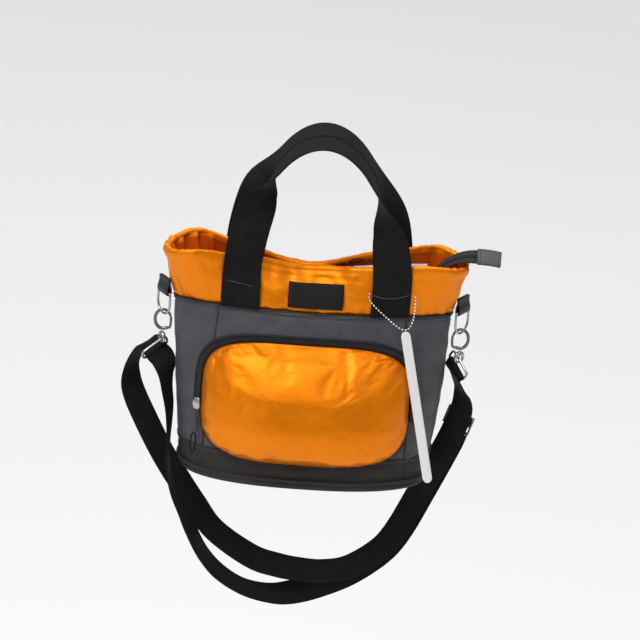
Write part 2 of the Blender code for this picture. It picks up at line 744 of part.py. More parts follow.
# Middle line of the two runs in millimetres, then the direction of the width at each point.
OUTER_RUN = [
    ((-163, 9, 121), (0.74, 0.55, 0.35)), ((-172, 14, 108), (0.62, 0.75, 0.10)),
    ((-178, 16, 93), (0.55, 0.83, 0.02)), ((-178, 16, 76), (0.75, 0.65, 0.10)),
    ((-173, 15, 60), (0.85, 0.50, 0.20)), ((-160.5, 13, 35), (0.84, 0.40, 0.36)),
    ((-144, 11, 5), (0.80, 0.45, 0.40)), ((-128, 10, -20), (0.78, 0.45, 0.43)),
    ((-106, 8, -51), (0.70, 0.50, 0.50)), ((-84, 6, -78), (0.52, 0.62, 0.59)),
    ((-46, 3, -102), (0.24, 0.50, 0.83)), ((-19, 3, -110), (0.12, 0.30, 0.95)),
    ((4, 4, -113.5), (0.03, 0.15, 0.98)),
    ((27, 7, -115), (-0.06, 0.10, 1.0)), ((53, 10, -110), (-0.32, 0.10, 0.94)),
    ((82, 16, -92), (-0.62, 0.15, 0.77)), ((99, 21, -71), (-0.75, 0.25, 0.61)),
    ((119, 28, -31), (-0.86, 0.25, 0.44)), ((142, 22, 24), (-0.86, 0.30, 0.41)),
    ((150.5, 17, 48), (-0.84, 0.34, 0.42)), ((154.5, 14, 62), (-0.82, 0.38, 0.42)),
    ((156.5, 11, 75), (-0.76, 0.46, 0.46)), ((155, 7.5, 88), (-0.66, 0.52, 0.54)),
    ((150, 4, 100), (-0.56, 0.58, 0.58))]
INNER_RUN = [
    ((-146.8, -0.5, 107.6), (0.76, 0.40, 0.45)), ((-143, -6, 95), (0.50, 0.82, 0.25)),
    ((-140.5, -8, 78), (0.34, 0.93, 0.08)), ((-137.5, -9, 61), (0.26, 0.96, 0.04)),
    ((-136.3, -12, 43), (0.16, 0.98, 0.02)), ((-136, -15, 24), (0.08, 0.99, 0.02)),
    ((-135.6, -17, 6), (0.06, 0.99, 0.02)), ((-133, -17, -11), (0.10, 0.99, 0.04)),
    ((-127, -16, -29), (0.18, 0.97, 0.08)), ((-118, -16, -48), (0.23, 0.95, 0.12)),
    ((-109, -15.5, -68), (0.25, 0.93, 0.20)), ((-95, -8, -97), (0.24, 0.93, 0.16)),
    ((-77.5, 0, -120), (0.20, 0.93, 0.25)), ((-52.5, 5, -137), (0.10, 0.94, 0.32)),
    ((-25, 9, -144), (0.08, 0.85, 0.50)), ((-2, 11, -142), (0.03, 0.55, 0.83)),
    ((26, 15, -134), (-0.18, 0.20, 0.96)),
    ((56, 19, -120), (-0.40, 0.15, 0.90)), ((86, 26, -98), (-0.60, 0.18, 0.78)),
    ((104, 31, -74), (-0.76, 0.24, 0.60)), ((124, 37, -33), (-0.86, 0.25, 0.44)),
    ((146.5, 30, 22), (-0.86, 0.30, 0.41)), ((152.6, 23.5, 42), (-0.84, 0.34, 0.42))]
LEFT_WRAP = (45, 92)                    # degrees of the loop's bar that the strap lies on
RIGHT_WRAP = (0, 180)


def bar_wrap(end, first, last, count):
    """Points round the loop's strap bar, from angle first to last; zero is the front."""
    middle, along, down = loop_frame(end)
    bar = middle + down * LOOP_DEPTH
    reach = LOOP_WIRE + 2 * GAP + STRAP_THICK / 2
    back = along.cross(down).normalized()
    turns = [math.radians(a) for a in spread(first, last, count)]
    route = [bar - (back * math.cos(a) + down * math.sin(a)) * reach for a in turns]
    ways = [back * math.sin(a) - down * math.cos(a) for a in turns]
    return route, ways, along


def strap_outer_route():
    """Over the left loop's bar, down and along the outside, up to the right loop and round it."""
    start, leaving, start_wide = bar_wrap(-1, *LEFT_WRAP, 4)
    finish, arriving, finish_wide = bar_wrap(1, *RIGHT_WRAP, 7)
    finish_wide = -finish_wide
    middle = [Vector(p) * MM for p, wide in OUTER_RUN]
    widths = [Vector(wide) for p, wide in OUTER_RUN]
    lead_in = finish[0] - arriving[0] * (4 * MM)
    ahead = smooth_route([start[-1]] + middle + [lead_in], 3)
    turn = smooth_route([start_wide] + widths + [finish_wide], 3)
    tail = [finish[-1] + arriving[-1] * (k * MM) for k in (3, 6, 9)]
    route = start[:-1] + ahead + finish + tail
    across = [start_wide] * 3 + turn + [finish_wide] * 10
    return route, across


def strap_inner_route():
    """From the front of the left loop's bar, down and along the inside, to the adjuster."""
    start, leaving, start_wide = bar_wrap(-1, *LEFT_WRAP, 4)
    first = [start[0] - leaving[0] * (k * MM) for k in (0.4, 2.5)]
    middle = [Vector(p) * MM for p, wide in INNER_RUN]
    widths = [Vector(wide) for p, wide in INNER_RUN]
    route = first + smooth_route([first[1]] + middle, 3)[1:]
    across = [start_wide] + smooth_route([start_wide] + widths, 3)
    return route, across


def adjuster_frame():
    """Place and directions of the adjuster: along the strap, across it, and its face."""
    low, high = (Vector(OUTER_RUN[i][0]) * MM for i in (-5, -4))
    along = (high - low).normalized()
    across = Vector(OUTER_RUN[-4][1])
    across = (across - along * across.dot(along)).normalized()
    face = along.cross(across).normalized()
    return (low + high) / 2 - face * ADJUSTER_BEHIND, along, across, face


def adjuster(name, finish, parent, at):
    """Slide adjuster: a flat plate with two slots either side of its middle bar."""
    place, along, across, face = adjuster_frame()
    turn = Matrix((along, across, face)).transposed().to_4x4()
    turn.translation = place

    def box(box_name, length, width, thick, shift):
        corners = [(-1, -1), (1, -1), (1, 1), (-1, 1)]
        loops = [[turn @ Vector((shift + a * length / 2, b * width / 2, h * thick / 2))
                  for a, b in corners] for h in (-1, 1)]
        return loft(box_name, loops)

    plate_mesh = box(name, ADJUSTER_LENGTH, ADJUSTER_WIDTH, ADJUSTER_THICK, 0)
    piece = add_piece(name, plate_mesh, finish, parent, at)
    for index, shift in enumerate((-4.75 * MM, 4.75 * MM)):
        cutter_mesh = box(f"slot_{index}", 6.5 * MM, 26.6 * MM, ADJUSTER_THICK * 3, shift)
        cutter = add_piece(f"adjuster_slot_{index}", cutter_mesh, finish, parent, at)
        cutter.hide_render = True
        cutter.display_type = "WIRE"
        cut = piece.modifiers.new(f"slot_{index}", "BOOLEAN")
        cut.operation = "DIFFERENCE"
        cut.solver = "EXACT"
        cut.object = cutter
    return piece


# ---------------------------------------------------------------- tags

def swing_tag(name):
    """Long narrow tag with rounded ends, leaning along the side of the pocket."""
    along = (TAG_BOTTOM - TAG_TOP).normalized()
    across = Vector((1, 0, 0))
    across = (across - along * across.dot(along)).normalized()
    up = along.cross(across)
    length = (TAG_BOTTOM - TAG_TOP).length
    loops = []
    for share, half in ((0, 0.45), (0.008, 0.8), (0.025, 1), (0.5, 1), (0.975, 1), (0.992, 0.8), (1, 0.45)):
        middle = TAG_TOP + along * (share * length)
        wide = across * (half * TAG_WIDTH / 2)
        thin = up * (TAG_THICK / 2)
        loops.append([middle - wide - thin, middle + wide - thin, middle + wide + thin,
                      middle - wide + thin])
    return loft(name, loops)


CHAIN_ROUTE = [(55.5, -31.5, 205), (55, -34.5, 199), (61, -36.5, 192), (73, -38, 182),
               (85, -38.5, 172.5), (91, -38.5, 170.2), (96, -38.5, 171.5), (99.5, -38.5, 179),
               (101, -38.5, 190), (101, -37.5, 200), (100.5, -35.5, 206)]


def tag_chain():
    """Ball chain that hangs the tag from the handle, as a plain tube of the chain's size."""
    curve = bpy.data.curves.new("tag_chain", "CURVE")
    curve.dimensions = "3D"
    curve.bevel_depth = CHAIN_RADIUS
    curve.bevel_resolution = 2
    curve.use_fill_caps = True
    route = smooth_route([Vector(p) * MM for p in CHAIN_ROUTE], 3)
    line = curve.splines.new("POLY")
    line.points.add(len(route) - 1)
    for point, place in zip(line.points, route):
        point.co = (*place, 1)
    return curve


def inner_tag(name):
    """Paper card that stands on the shut end of the zip and looks out of the mouth."""
    loops = []
    for x, top in ((38, 217), (60, 219.5), (90, 223), (111, 224.5)):
        low, high = Vector((x, 6.4, 198)) * MM, Vector((x, 7.6, top)) * MM
        thin = Vector((0, 0.5 * MM, 0))
        loops.append([low - thin, high - thin, high + thin, low + thin])
    return loft(name, loops)


# ---------------------------------------------------------------- build

def build():
    clear_scene()
    satin = material("orange_satin", (0.95, 0.32, 0.02), 0.35)
    grey = material("grey_nylon", (0.075, 0.075, 0.085), 0.7)
    twill = material("black_twill", (0.02, 0.02, 0.022), 0.8)
    webbing = material("black_webbing", (0.012, 0.012, 0.014), 0.75)
    inside = material("orange_lining", (0.6, 0.16, 0.02), 0.6)
    foam = material("white_foam", (0.8, 0.8, 0.78), 0.9)
    board = material("base_board", (0.1, 0.1, 0.1), 0.6)
    leather = material("black_leather", (0.02, 0.02, 0.02), 0.45)
    nickel = material("nickel", (0.75, 0.73, 0.68), 0.25, 1.0)
    coil = material("black_coil", (0.015, 0.015, 0.016), 0.4)
    white = material("white_card", (0.85, 0.85, 0.86), 0.5)

    bag = body("bag")

    def front_right(z):
        return panel_seam(z)

    def front_left(z):
        return -panel_seam(z)

    def back_right(z):
        return math.pi - panel_seam(z)

    def back_left(z):
        return math.pi + panel_seam(z)

    add_piece("front_panel", wall_panel("front_panel", front_left, front_right, 13), grey, bag)
    add_piece("side_panel_right", wall_panel("side_panel_right", front_right, back_right, 12), grey, bag)
    add_piece("back_panel", wall_panel("back_panel", back_right, back_left, 13), grey, bag)
    add_piece("side_panel_left",
              wall_panel("side_panel_left", back_left, lambda z: 2 * math.pi - panel_seam(z), 12),
              grey, bag)
    add_piece("base_band", base_band("base_band"), twill, bag)
    add_piece("base_piping", base_piping("base_piping"), twill, bag)
    add_piece("base_panel", plate("base_panel", 0, BASE_PLATE, -WALL - GAP), twill, bag)
    add_piece("base_board",
              plate("base_board", BASE_PLATE + GAP, BASE_PLATE + GAP + BOARD, -WALL - 2 * GAP),
              board, bag)
    add_piece("lining", lining("lining"), inside, bag)
    for label, back in (("front", False), ("back", True)):
        add_piece(f"collar_{label}", collar_shell(f"collar_{label}", back), satin, bag)
        add_piece(f"collar_padding_{label}", collar_padding(f"collar_padding_{label}", back), foam, bag)
    add_piece("label_patch", label_patch("label_patch"), leather, bag)

    for label, side in (("front", -1), ("back", 1)):
        for end_label, end in (("left", -1), ("right", 1)):
            name = f"handle_{label}_end_{end_label}"
            add_piece(name, handle_end(name, end, side), webbing, bag)
        hinge = (HANDLE_CENTRE, side * HANDLE_HINGE_Y, HANDLE_FOOT)
        handle = body(f"handle_{label}_hinge", hinge)
        add_piece(f"handle_{label}", handle_arch(f"handle_{label}", side), webbing, handle, hinge)

    for label, side in (("front", -1), ("back", 1)):
        cloth = zip_strip(f"zip_cloth_{label}", side, 0, None, 0.8 * MM)
        add_piece(f"zip_cloth_{label}", cloth, grey, bag)
        teeth = zip_strip(f"zip_teeth_{label}", side, 2 * GAP, TOOTH_WIDTH, TOOTH_HEIGHT)
        add_piece(f"zip_teeth_{label}", teeth, coil, bag)
    add_piece("zip_tail", zip_tail("zip_tail"), coil, bag)
    add_piece("zip_end_tab", zip_end_tab("zip_end_tab"), grey, bag)
    place = (ZIP_SLIDER_X, 0, ZIP_HEIGHT)
    add_piece("main_zip_slider", zip_slider("main_zip_slider"), nickel,
              body("main_zip_slide", place), place)
    pivot = main_pull_pivot()
    upright = Vector((-5, 0, 23)).normalized()
    pull = flat_pull("main_zip_pull", pivot, upright, Vector((0, 1, 0)), 24 * MM)
    add_piece("main_zip_pull", pull, nickel, body("main_pull_hinge", pivot), pivot)

    add_piece("pocket_panel", pocket_panel("pocket_panel"), satin, bag)
    tape = pocket_strip("pocket_zip_tape", 0.6 * MM, 8 * MM, GAP, 1.1 * MM)
    add_piece("pocket_zip_tape", tape, coil, bag)
    teeth = pocket_strip("pocket_zip_teeth", 2.2 * MM, 5.8 * MM, 1.4 * MM, 3.2 * MM)
    add_piece("pocket_zip_teeth", teeth, coil, bag)
    place = pocket_zip_frame()[0]
    add_piece("pocket_zip_slider", pocket_slider("pocket_zip_slider"), nickel,
              body("pocket_zip_slide", place), place)
    pivot = pocket_pull_pivot()
    pull_body = body("pocket_pull_hinge", pivot)
    add_piece("pocket_zip_pull", pocket_pull("pocket_zip_pull"), nickel, pull_body, pivot)
    add_piece("pocket_pull_cord", pocket_pull_cord("pocket_pull_cord"), webbing, pull_body, pivot)

    strap_axis = (0, 0, D_MIDDLE_Z)
    strap = body("strap_swing", strap_axis)
    for label, end in (("left", -1), ("right", 1)):
        add_piece(f"tab_{label}", side_tab(f"tab_{label}", end), leather, bag)
        at = (end * HOOK_X, 0, D_BAR_Z)
        add_piece(f"d_ring_{label}", d_ring(f"d_ring_{label}", end), nickel,
                  body(f"d_ring_{label}_hinge", at), at)
        at = (end * HOOK_X, 0, EYE_TOP)
        add_piece(f"claw_{label}", claw(f"claw_{label}", end), nickel,
                  body(f"claw_{label}_swivel", at), at)
        at = (end * (HOOK_X - CLAW_HALF_WIDTH), 0, GATE_FOOT)
        add_piece(f"gate_{label}", gate(f"gate_{label}", end), nickel,
                  body(f"gate_{label}_hinge", at), at)
        add_piece(f"swivel_{label}", swivel(f"swivel_{label}", end), nickel, strap, strap_axis)
        add_piece(f"strap_loop_{label}", strap_loop(f"strap_loop_{label}", end), nickel, strap,
                  strap_axis)
    route, across = strap_outer_route()
    add_piece("strap_outer", ribbon("strap_outer", route, across, STRAP_WIDTH, STRAP_THICK),
              webbing, strap, strap_axis)
    route, across = strap_inner_route()
    add_piece("strap_inner", ribbon("strap_inner", route, across, STRAP_WIDTH, STRAP_THICK),
              webbing, strap, strap_axis)
    place = adjuster_frame()[0]
    adjuster("strap_adjuster", nickel, body("adjuster_slide", place), place)

    chain = bpy.data.objects.new("tag_chain", tag_chain())
    chain.data.materials.append(nickel)
    bpy.context.scene.collection.objects.link(chain)
    chain.parent = bag
    tag_body = body("swing_tag_hinge", TAG_TOP)
    add_piece("swing_tag", swing_tag("swing_tag"), white, tag_body, TAG_TOP)
    add_piece("inner_tag", inner_tag("inner_tag"), white, bag)


build()
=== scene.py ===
"""Looks of the small two-tone tote handbag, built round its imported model.

Shapes are worked out in bag coordinates, whose zero is the middle of the base's underside, and are
lowered into the row frame when their mesh is made. Metres throughout.
"""

from math import acos, asin, copysign, cos, degrees, exp, pi, radians, sin, sqrt

import bmesh
import bpy
from mathutils import Matrix, Vector, noise


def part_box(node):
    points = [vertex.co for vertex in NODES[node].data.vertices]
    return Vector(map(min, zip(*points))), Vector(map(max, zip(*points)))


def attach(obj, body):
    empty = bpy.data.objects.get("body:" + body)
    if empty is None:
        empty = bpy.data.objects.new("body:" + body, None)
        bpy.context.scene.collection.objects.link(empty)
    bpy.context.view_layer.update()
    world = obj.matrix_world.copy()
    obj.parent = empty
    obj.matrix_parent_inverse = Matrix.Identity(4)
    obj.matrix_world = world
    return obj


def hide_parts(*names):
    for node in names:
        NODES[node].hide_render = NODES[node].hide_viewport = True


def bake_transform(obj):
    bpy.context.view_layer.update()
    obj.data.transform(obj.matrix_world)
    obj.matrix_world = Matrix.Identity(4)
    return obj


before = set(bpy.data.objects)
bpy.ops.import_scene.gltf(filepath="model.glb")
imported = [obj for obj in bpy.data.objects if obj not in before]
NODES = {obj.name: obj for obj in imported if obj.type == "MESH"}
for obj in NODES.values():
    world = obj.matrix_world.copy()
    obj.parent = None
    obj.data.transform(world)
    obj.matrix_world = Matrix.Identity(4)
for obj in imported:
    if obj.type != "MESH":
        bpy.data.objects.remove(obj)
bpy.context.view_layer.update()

MM = 0.001
GAP = 0.3 * MM
GRIP_HEIGHT = -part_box("base_panel")[0].z
LOWER = Vector((0, 0, -GRIP_HEIGHT))

SIDES = (("left", -1), ("right", 1))
FACES = (("front", -1), ("back", 1))
ROUND_STEPS = 420

# Shell
SEAM_HEIGHT = 178 * MM
BAND_HEIGHT = 32 * MM
BASE_HALF_WIDTH = 124 * MM
SEAM_HALF_WIDTH = 139.4 * MM
BASE_HALF_DEPTH = 62 * MM
SEAM_HALF_DEPTH = 32 * MM
PANEL_SEAM_BASE = radians(52)
PANEL_SEAM_TOP = radians(42.5)
PIPING_HEIGHT = 9 * MM
COLLAR_HALF = 4 * MM
RIM_HALF_WIDTH = 152.6 * MM
RIM_END_START = 118 * MM
RIM_END_GAP = 32 * MM
COLLAR_PUFF = 3.5 * MM
RIM_GAP = [(-118, 32), (-88, 23), (-50, 10), (-10, 4.8), (10, 6), (45, 20), (77, 25), (118, 32)]
RIM_HEIGHT = [(-149, 226), (-120, 233), (-90, 229), (-50, 222), (-20, 216), (5, 216), (40, 221),
              (80, 227), (120, 232), (149, 226)]
STITCH_SHARE = 0.56
INSIDE_COLUMNS = 24
PATCH_SPAN = (-25.5 * MM, 29.5 * MM)

# Handles
HANDLE_CENTRE = 2 * MM
HANDLE_HALF_SPAN = 75 * MM
HANDLE_WIDTH = 39 * MM
HANDLE_THICK = 1.8 * MM
HANDLE_FOOT = 205 * MM
HANDLE_TOP_Y = 21 * MM
ON_COLLAR = 1.1 * MM

# Zips
ZIP_HEIGHT = 196 * MM
ZIP_SPAN = radians(52.6)
ZIP_SLIDER_X = 27 * MM
ZIP_OPEN_X = -25 * MM
ZIP_DROP = 13 * MM
POCKET_X = -1.5 * MM
POCKET_Z = 86 * MM
POCKET_HALF_WIDTH = 103.5 * MM
POCKET_HALF_HEIGHT = 60 * MM
POCKET_POWER = 3.8
POCKET_BULGE = 30 * MM
POCKET_ZIP_SPAN = (-4, 184)

# Side hardware and strap
HOOK_X = 149.2 * MM
CLAW_HALF_WIDTH = 7.9 * MM
RING_WIRE = 1.35 * MM
TAB_THICK = 1.6 * MM
SIDE_TURN = radians(32)
TAB_TOP = 195 * MM
LOOP_WIRE = 1.3 * MM
LOOP_DEPTH = 11.5 * MM
LOOP_BAR_Z = 128.3 * MM
STRAP_WIDTH = 25 * MM
STRAP_THICK = 1.5 * MM
OUTER_LENGTH = 0.679
INNER_LENGTH = 0.599
TAG_TOP = Vector((93, -38, 168)) * MM
TAG_BOTTOM = Vector((126.5, -54, 14.5)) * MM
TAG_WIDTH = 9.5 * MM


# ---------------------------------------------------------------- numbers and curves

def blend(low, high, share):
    return low + (high - low) * share


def ease(share):
    share = min(max(share, 0.0), 1.0)
    return share * share * (3 - 2 * share)


def bump(value, middle, width):
    """1 at the middle, falling away over the width on both sides."""
    return exp(-((value - middle) / width) ** 2)


def spread(low, high, count):
    return [low + (high - low) * i / (count - 1) for i in range(count)]


def drift(x, y, z):
    """Smooth random value between -1 and 1 at a place."""
    return noise.noise(Vector((x, y, z)))


def around(count):
    """Angles spread evenly round a full turn."""
    return [2 * pi * i / count for i in range(count)]


def outward(turn):
    """Level direction out of the bag, at an angle from the middle of the front."""
    return Vector((sin(turn), -cos(turn), 0))


def from_mm(points):
    return [Vector(point) * MM for point in points]


def signed_power(value, power):
    return copysign(abs(value) ** power, value)


def through(stations, x):
    """A smooth curve through (x, y) stations in millimetres, read at x in metres."""
    at = min(max(x / MM, stations[0][0]), stations[-1][0])
    index = max(i for i in range(len(stations) - 1) if stations[i][0] <= at)
    slopes = []
    for i in (index, index + 1):
        before, after = stations[max(i - 1, 0)], stations[min(i + 1, len(stations) - 1)]
        slopes.append((after[1] - before[1]) / (after[0] - before[0]))
    (x0, y0), (x1, y1) = stations[index], stations[index + 1]
    span = x1 - x0
    t = (at - x0) / span
    value = (y0 * (2 * t ** 3 - 3 * t ** 2 + 1) + slopes[0] * span * (t ** 3 - 2 * t ** 2 + t)
             + y1 * (3 * t ** 2 - 2 * t ** 3) + slopes[1] * span * (t ** 3 - t ** 2))
    return value * MM


def smooth_route(points, per_span):
    """Catmull-Rom curve through vectors, with per_span steps between neighbours."""
    ends = [points[0] * 2 - points[1]] + list(points) + [points[-1] * 2 - points[-2]]
    route = []
    for i in range(1, len(ends) - 2):
        a, b, c, d = ends[i - 1], ends[i], ends[i + 1], ends[i + 2]
        for k in range(per_span):
            t = k / per_span
            route.append(b + (c - a) * (t / 2) + (a * 2 - b * 5 + c * 4 - d) * (t * t / 2)
                         + (b * 3 - a - c * 3 + d) * (t * t * t / 2))
    route.append(points[-1].copy())
    return route


def tangents(route, closed=False):
    found = []
    last = len(route) - 1
    for i in range(len(route)):
        before = route[i - 1] if i or closed else route[0]
        after = route[(i + 1) % len(route)] if i < last or closed else route[last]
        found.append((after - before).normalized())
    return found


def lengths(points):
    """Distance run so far at each point of a line."""
    total = [0.0]
    for a, b in zip(points, points[1:]):
        total.append(total[-1] + (b - a).length)
    return total


def evenly(points, others, step):
    """Places a step apart along a line, with the matching mix of each other list."""
    run = lengths(points)
    count = max(int(run[-1] / step), 2)
    found = []
    i = 0
    for k in range(count):
        at = run[-1] * (k + 0.5) / count
        while run[i + 1] < at:
            i += 1
        share = (at - run[i]) / (run[i + 1] - run[i])
        along = (points[i + 1] - points[i]).normalized()
        mixed = [blend(other[i], other[i + 1], share) for other in others]
        found.append((points[i].lerp(points[i + 1], share), along, *mixed))
    return found


# ---------------------------------------------------------------- materials

def feed(tree, target, inputs):
    """Sets a node's inputs: a link for a socket, else a plain value."""
    for key, value in inputs.items():
        if isinstance(value, bpy.types.NodeSocket):
            tree.links.new(value, target.inputs[key])
        else:
            target.inputs[key].default_value = value


def node_maker(tree):
    def node(kind, inputs=(), **settings):
        new = tree.nodes.new(kind)
        for key, value in settings.items():
            setattr(new, key, value)
        feed(tree, new, dict(inputs))
        return new

    return node


def set_up(name, colour, roughness, metallic=0.0):
    """A new material, ways to set its shader's inputs and add nodes, and its coordinates."""
    made = bpy.data.materials.new(name)
    made.use_nodes = True
    tree = made.node_tree
    shader = tree.nodes["Principled BSDF"]

    def shade(inputs):
        feed(tree, shader, inputs)

    shade({"Base Color": (*colour, 1), "Roughness": roughness, "Metallic": metallic})
    node = node_maker(tree)
    return made, shade, node, node("ShaderNodeTexCoord").outputs


def two_tone(node, factor, dark, light):
    """Colour output that runs from dark to light with a factor."""
    colour = node("ShaderNodeMix", {"Factor": factor}, data_type="RGBA")
    colour.inputs["A"].default_value = (*dark, 1)
    colour.inputs["B"].default_value = (*light, 1)
    return colour.outputs["Result"]


def clouds(node, place, scale, detail, **more):
    """Cloudy noise through the material, as a socket."""
    named = {key.capitalize(): value for key, value in more.items()}
    return node("ShaderNodeTexNoise", {"Vector": place["Object"], "Scale": scale, "Detail": detail,
                                       **named}).outputs["Fac"]


def thread_waves(node, coordinates, across, along, direction_along="Y"):
    """Height of crossing threads with the given spacings in metres."""
    turns = 0.1 * pi
    weft = node("ShaderNodeTexWave", {"Vector": coordinates, "Scale": turns / along},
                bands_direction=direction_along)
    warp = node("ShaderNodeTexWave", {"Vector": coordinates, "Scale": turns / across},
                bands_direction="X")
    return node("ShaderNodeMath", {0: weft.outputs["Fac"], 1: warp.outputs["Fac"]},
                operation="MULTIPLY").outputs[0]


def cloth(name, dark, light, roughness, across, along, depth, sheen=0.0, patch=0.02, crease=0.0,
          diagonal=False, specular=0.5, tint=(1, 1, 1), lustre=0.0, glaze=0.0):
    """Woven cloth: threads across and along the UVs, tone that varies in patches, soft creases."""
    made, shade, node, place = set_up(name, dark, roughness, lustre)
    woven = thread_waves(node, place["UV"], across, along, "DIAGONAL" if diagonal else "Y")
    patches = clouds(node, place, 1 / patch, 4.0, roughness=0.6)
    slubs = clouds(node, place, 900.0, 2.0)
    mixed = node("ShaderNodeMath", {0: patches, 1: slubs}, operation="ADD")
    tone = node("ShaderNodeMapRange", {"Value": mixed.outputs[0], "From Min": 0.65,
                                       "From Max": 1.35})
    rough = node("ShaderNodeMapRange", {"Value": patches, "To Min": roughness - 0.05,
                                        "To Max": roughness + 0.07})
    relief = {"Height": woven, "Strength": 0.6, "Distance": depth}
    if crease:
        waves = clouds(node, place, 38.0, 3.0, roughness=0.55, distortion=0.6)
        soft = node("ShaderNodeBump", {"Height": waves, "Strength": 0.5, "Distance": crease})
        relief["Normal"] = soft.outputs[0]
    shade({"Base Color": two_tone(node, tone.outputs[0], dark, light),
           "Roughness": rough.outputs[0],
           "Normal": node("ShaderNodeBump", relief).outputs[0],
           "Sheen Weight": sheen, "Sheen Roughness": 0.4, "Sheen Tint": (*tint, 1),
           "Coat Weight": glaze, "Coat Roughness": 0.34,
           "Specular IOR Level": specular, "Specular Tint": (*tint, 1)})
    return made


def metal(name, colour, roughness):
    """Plated metal: small marks in the polish."""
    made, shade, node, place = set_up(name, colour, roughness, 1.0)
    marks = clouds(node, place, 260.0, 5.0, roughness=0.7)
    rough = node("ShaderNodeMapRange", {"Value": marks, "From Min": 0.3, "From Max": 0.75,
                                        "To Min": roughness * 0.7, "To Max": roughness * 1.7})
    lift = node("ShaderNodeBump", {"Height": marks, "Strength": 0.15, "Distance": 0.1 * MM})
    shade({"Roughness": rough.outputs[0], "Normal": lift.outputs[0]})
    return made


def grain(name, dark, light, roughness, scale, depth, specular=0.5):
    """Smooth stuff with a grain: leather, card or moulded plastic."""
    made, shade, node, place = set_up(name, dark, roughness)
    cells = node("ShaderNodeTexVoronoi", {"Vector": place["Object"], "Scale": scale},
                 feature="SMOOTH_F1")
    cloud = clouds(node, place, scale / 12, 4.0)
    rough = node("ShaderNodeMapRange", {"Value": cloud, "To Min": roughness - 0.06,
                                        "To Max": roughness + 0.08})
    lift = node("ShaderNodeBump", {"Height": cells.outputs["Distance"], "Strength": 0.4,
                                   "Distance": depth})
    shade({"Base Color": two_tone(node, cloud, dark, light),
           "Roughness": rough.outputs[0], "Normal": lift.outputs[0],
           "Specular IOR Level": specular})
    return made


SATIN = cloth("satin", (0.82, 0.195, 0.001), (0.92, 0.25, 0.002), 0.35, 0.45 * MM, 0.32 * MM,
              0.05 * MM, sheen=0.05, patch=45 * MM, crease=0.6 * MM, tint=(1, 0.6, 0.2),
              lustre=0.55, glaze=0.05)
# Darker, redder copy of the satin: painted shade for the inside faces of the collar.
SATIN_PAINTED_SHADE = cloth("satin_painted_shade", (0.44, 0.045, 0.001), (0.72, 0.12, 0.002), 0.42, 0.45 * MM,
                     0.32 * MM, 0.05 * MM, patch=30 * MM, crease=1.0 * MM, tint=(1, 0.6, 0.2),
                     lustre=0.4)
GREY = cloth("grey_nylon", (0.040, 0.040, 0.047), (0.086, 0.085, 0.096), 0.5, 0.7 * MM, 0.7 * MM,
             0.08 * MM, sheen=0.08, patch=30 * MM, crease=1.7 * MM, specular=0.42)
TWILL = cloth("black_twill", (0.020, 0.0185, 0.018), (0.038, 0.035, 0.034), 0.66, 0.9 * MM,
              0.9 * MM, 0.16 * MM, sheen=0.04, patch=25 * MM, crease=0.6 * MM, diagonal=True,
              specular=0.25)
WEBBING = cloth("black_webbing", (0.0045, 0.0044, 0.0044), (0.012, 0.0118, 0.0118), 0.72, 2.1 * MM,
                1.15 * MM, 0.30 * MM, sheen=0.0, patch=12 * MM, specular=0.14)
# Orange lining darkened and reddened: painted shade of the bag's inside.
LINING_PAINTED_SHADE = cloth("orange_lining", (0.42, 0.075, 0.004), (0.52, 0.11, 0.008), 0.55, 0.5 * MM,
                     0.5 * MM, 0.05 * MM, sheen=0.1, patch=30 * MM, crease=0.6 * MM)
TAPE = cloth("zip_tape", (0.010, 0.010, 0.011), (0.022, 0.022, 0.024), 0.7, 0.7 * MM, 0.8 * MM,
             0.12 * MM, patch=15 * MM, specular=0.3)
COIL = grain("zip_coil", (0.012, 0.012, 0.013), (0.024, 0.024, 0.026), 0.36, 900, 0.03 * MM)
LEATHER = grain("leather", (0.010, 0.010, 0.011), (0.020, 0.019, 0.020), 0.46, 1100, 0.07 * MM)
PATCH = grain("patch_leather", (0.008, 0.008, 0.007), (0.013, 0.012, 0.011), 0.66, 800,
              0.08 * MM, specular=0.16)
NICKEL = metal("nickel", (0.47, 0.45, 0.41), 0.13)
SMOKED = metal("smoked_nickel", (0.20, 0.19, 0.165), 0.17)
BRIGHT = metal("bright_nickel", (0.86, 0.85, 0.82), 0.16)
GUNMETAL = metal("gunmetal", (0.10, 0.095, 0.095), 0.28)
CARD = grain("white_card", (0.80, 0.80, 0.80), (0.87, 0.87, 0.87), 0.45, 300, 0.02 * MM)
# Greyer, warmer copy of the white card: painted shade, tinted by the orange around it, between the
# inner tag's white leaves.
PAPER_PAINTED_SHADE = grain("tag_paper_painted_shade", (0.70, 0.66, 0.64), (0.86, 0.83, 0.82), 0.5, 400, 0.03 * MM)
THREAD_GREY = grain("thread_grey", (0.10, 0.10, 0.11), (0.15, 0.15, 0.16), 0.6, 1500, 0.03 * MM)
THREAD_BLACK = grain("thread_black", (0.012, 0.012, 0.014), (0.022, 0.022, 0.024), 0.6, 1500,
                     0.03 * MM)


# ---------------------------------------------------------------- mesh makers

def add_object(name, data):
    made = bpy.data.objects.new(name, data)
    bpy.context.scene.collection.objects.link(made)
    return made


def place_mesh(name, vertices, faces, finish, body, uvs=None):
    """A smooth-shaded object in the row frame, from points in bag coordinates."""
    mesh = bpy.data.meshes.new(name)
    mesh.from_pydata([v + LOWER for v in vertices], [], faces)
    if uvs:
        layer = mesh.uv_layers.new(name="cloth")
        layer.data.foreach_set("uv", [number for uv in uvs for number in uv])
    mesh.materials.append(finish)
    work = bmesh.new()
    work.from_mesh(mesh)
    bmesh.ops.recalc_face_normals(work, faces=work.faces)
    work.to_mesh(mesh)
    work.free()
    mesh.shade_smooth()
    piece = add_object(name, mesh)
    if body:
        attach(piece, body)
    return piece


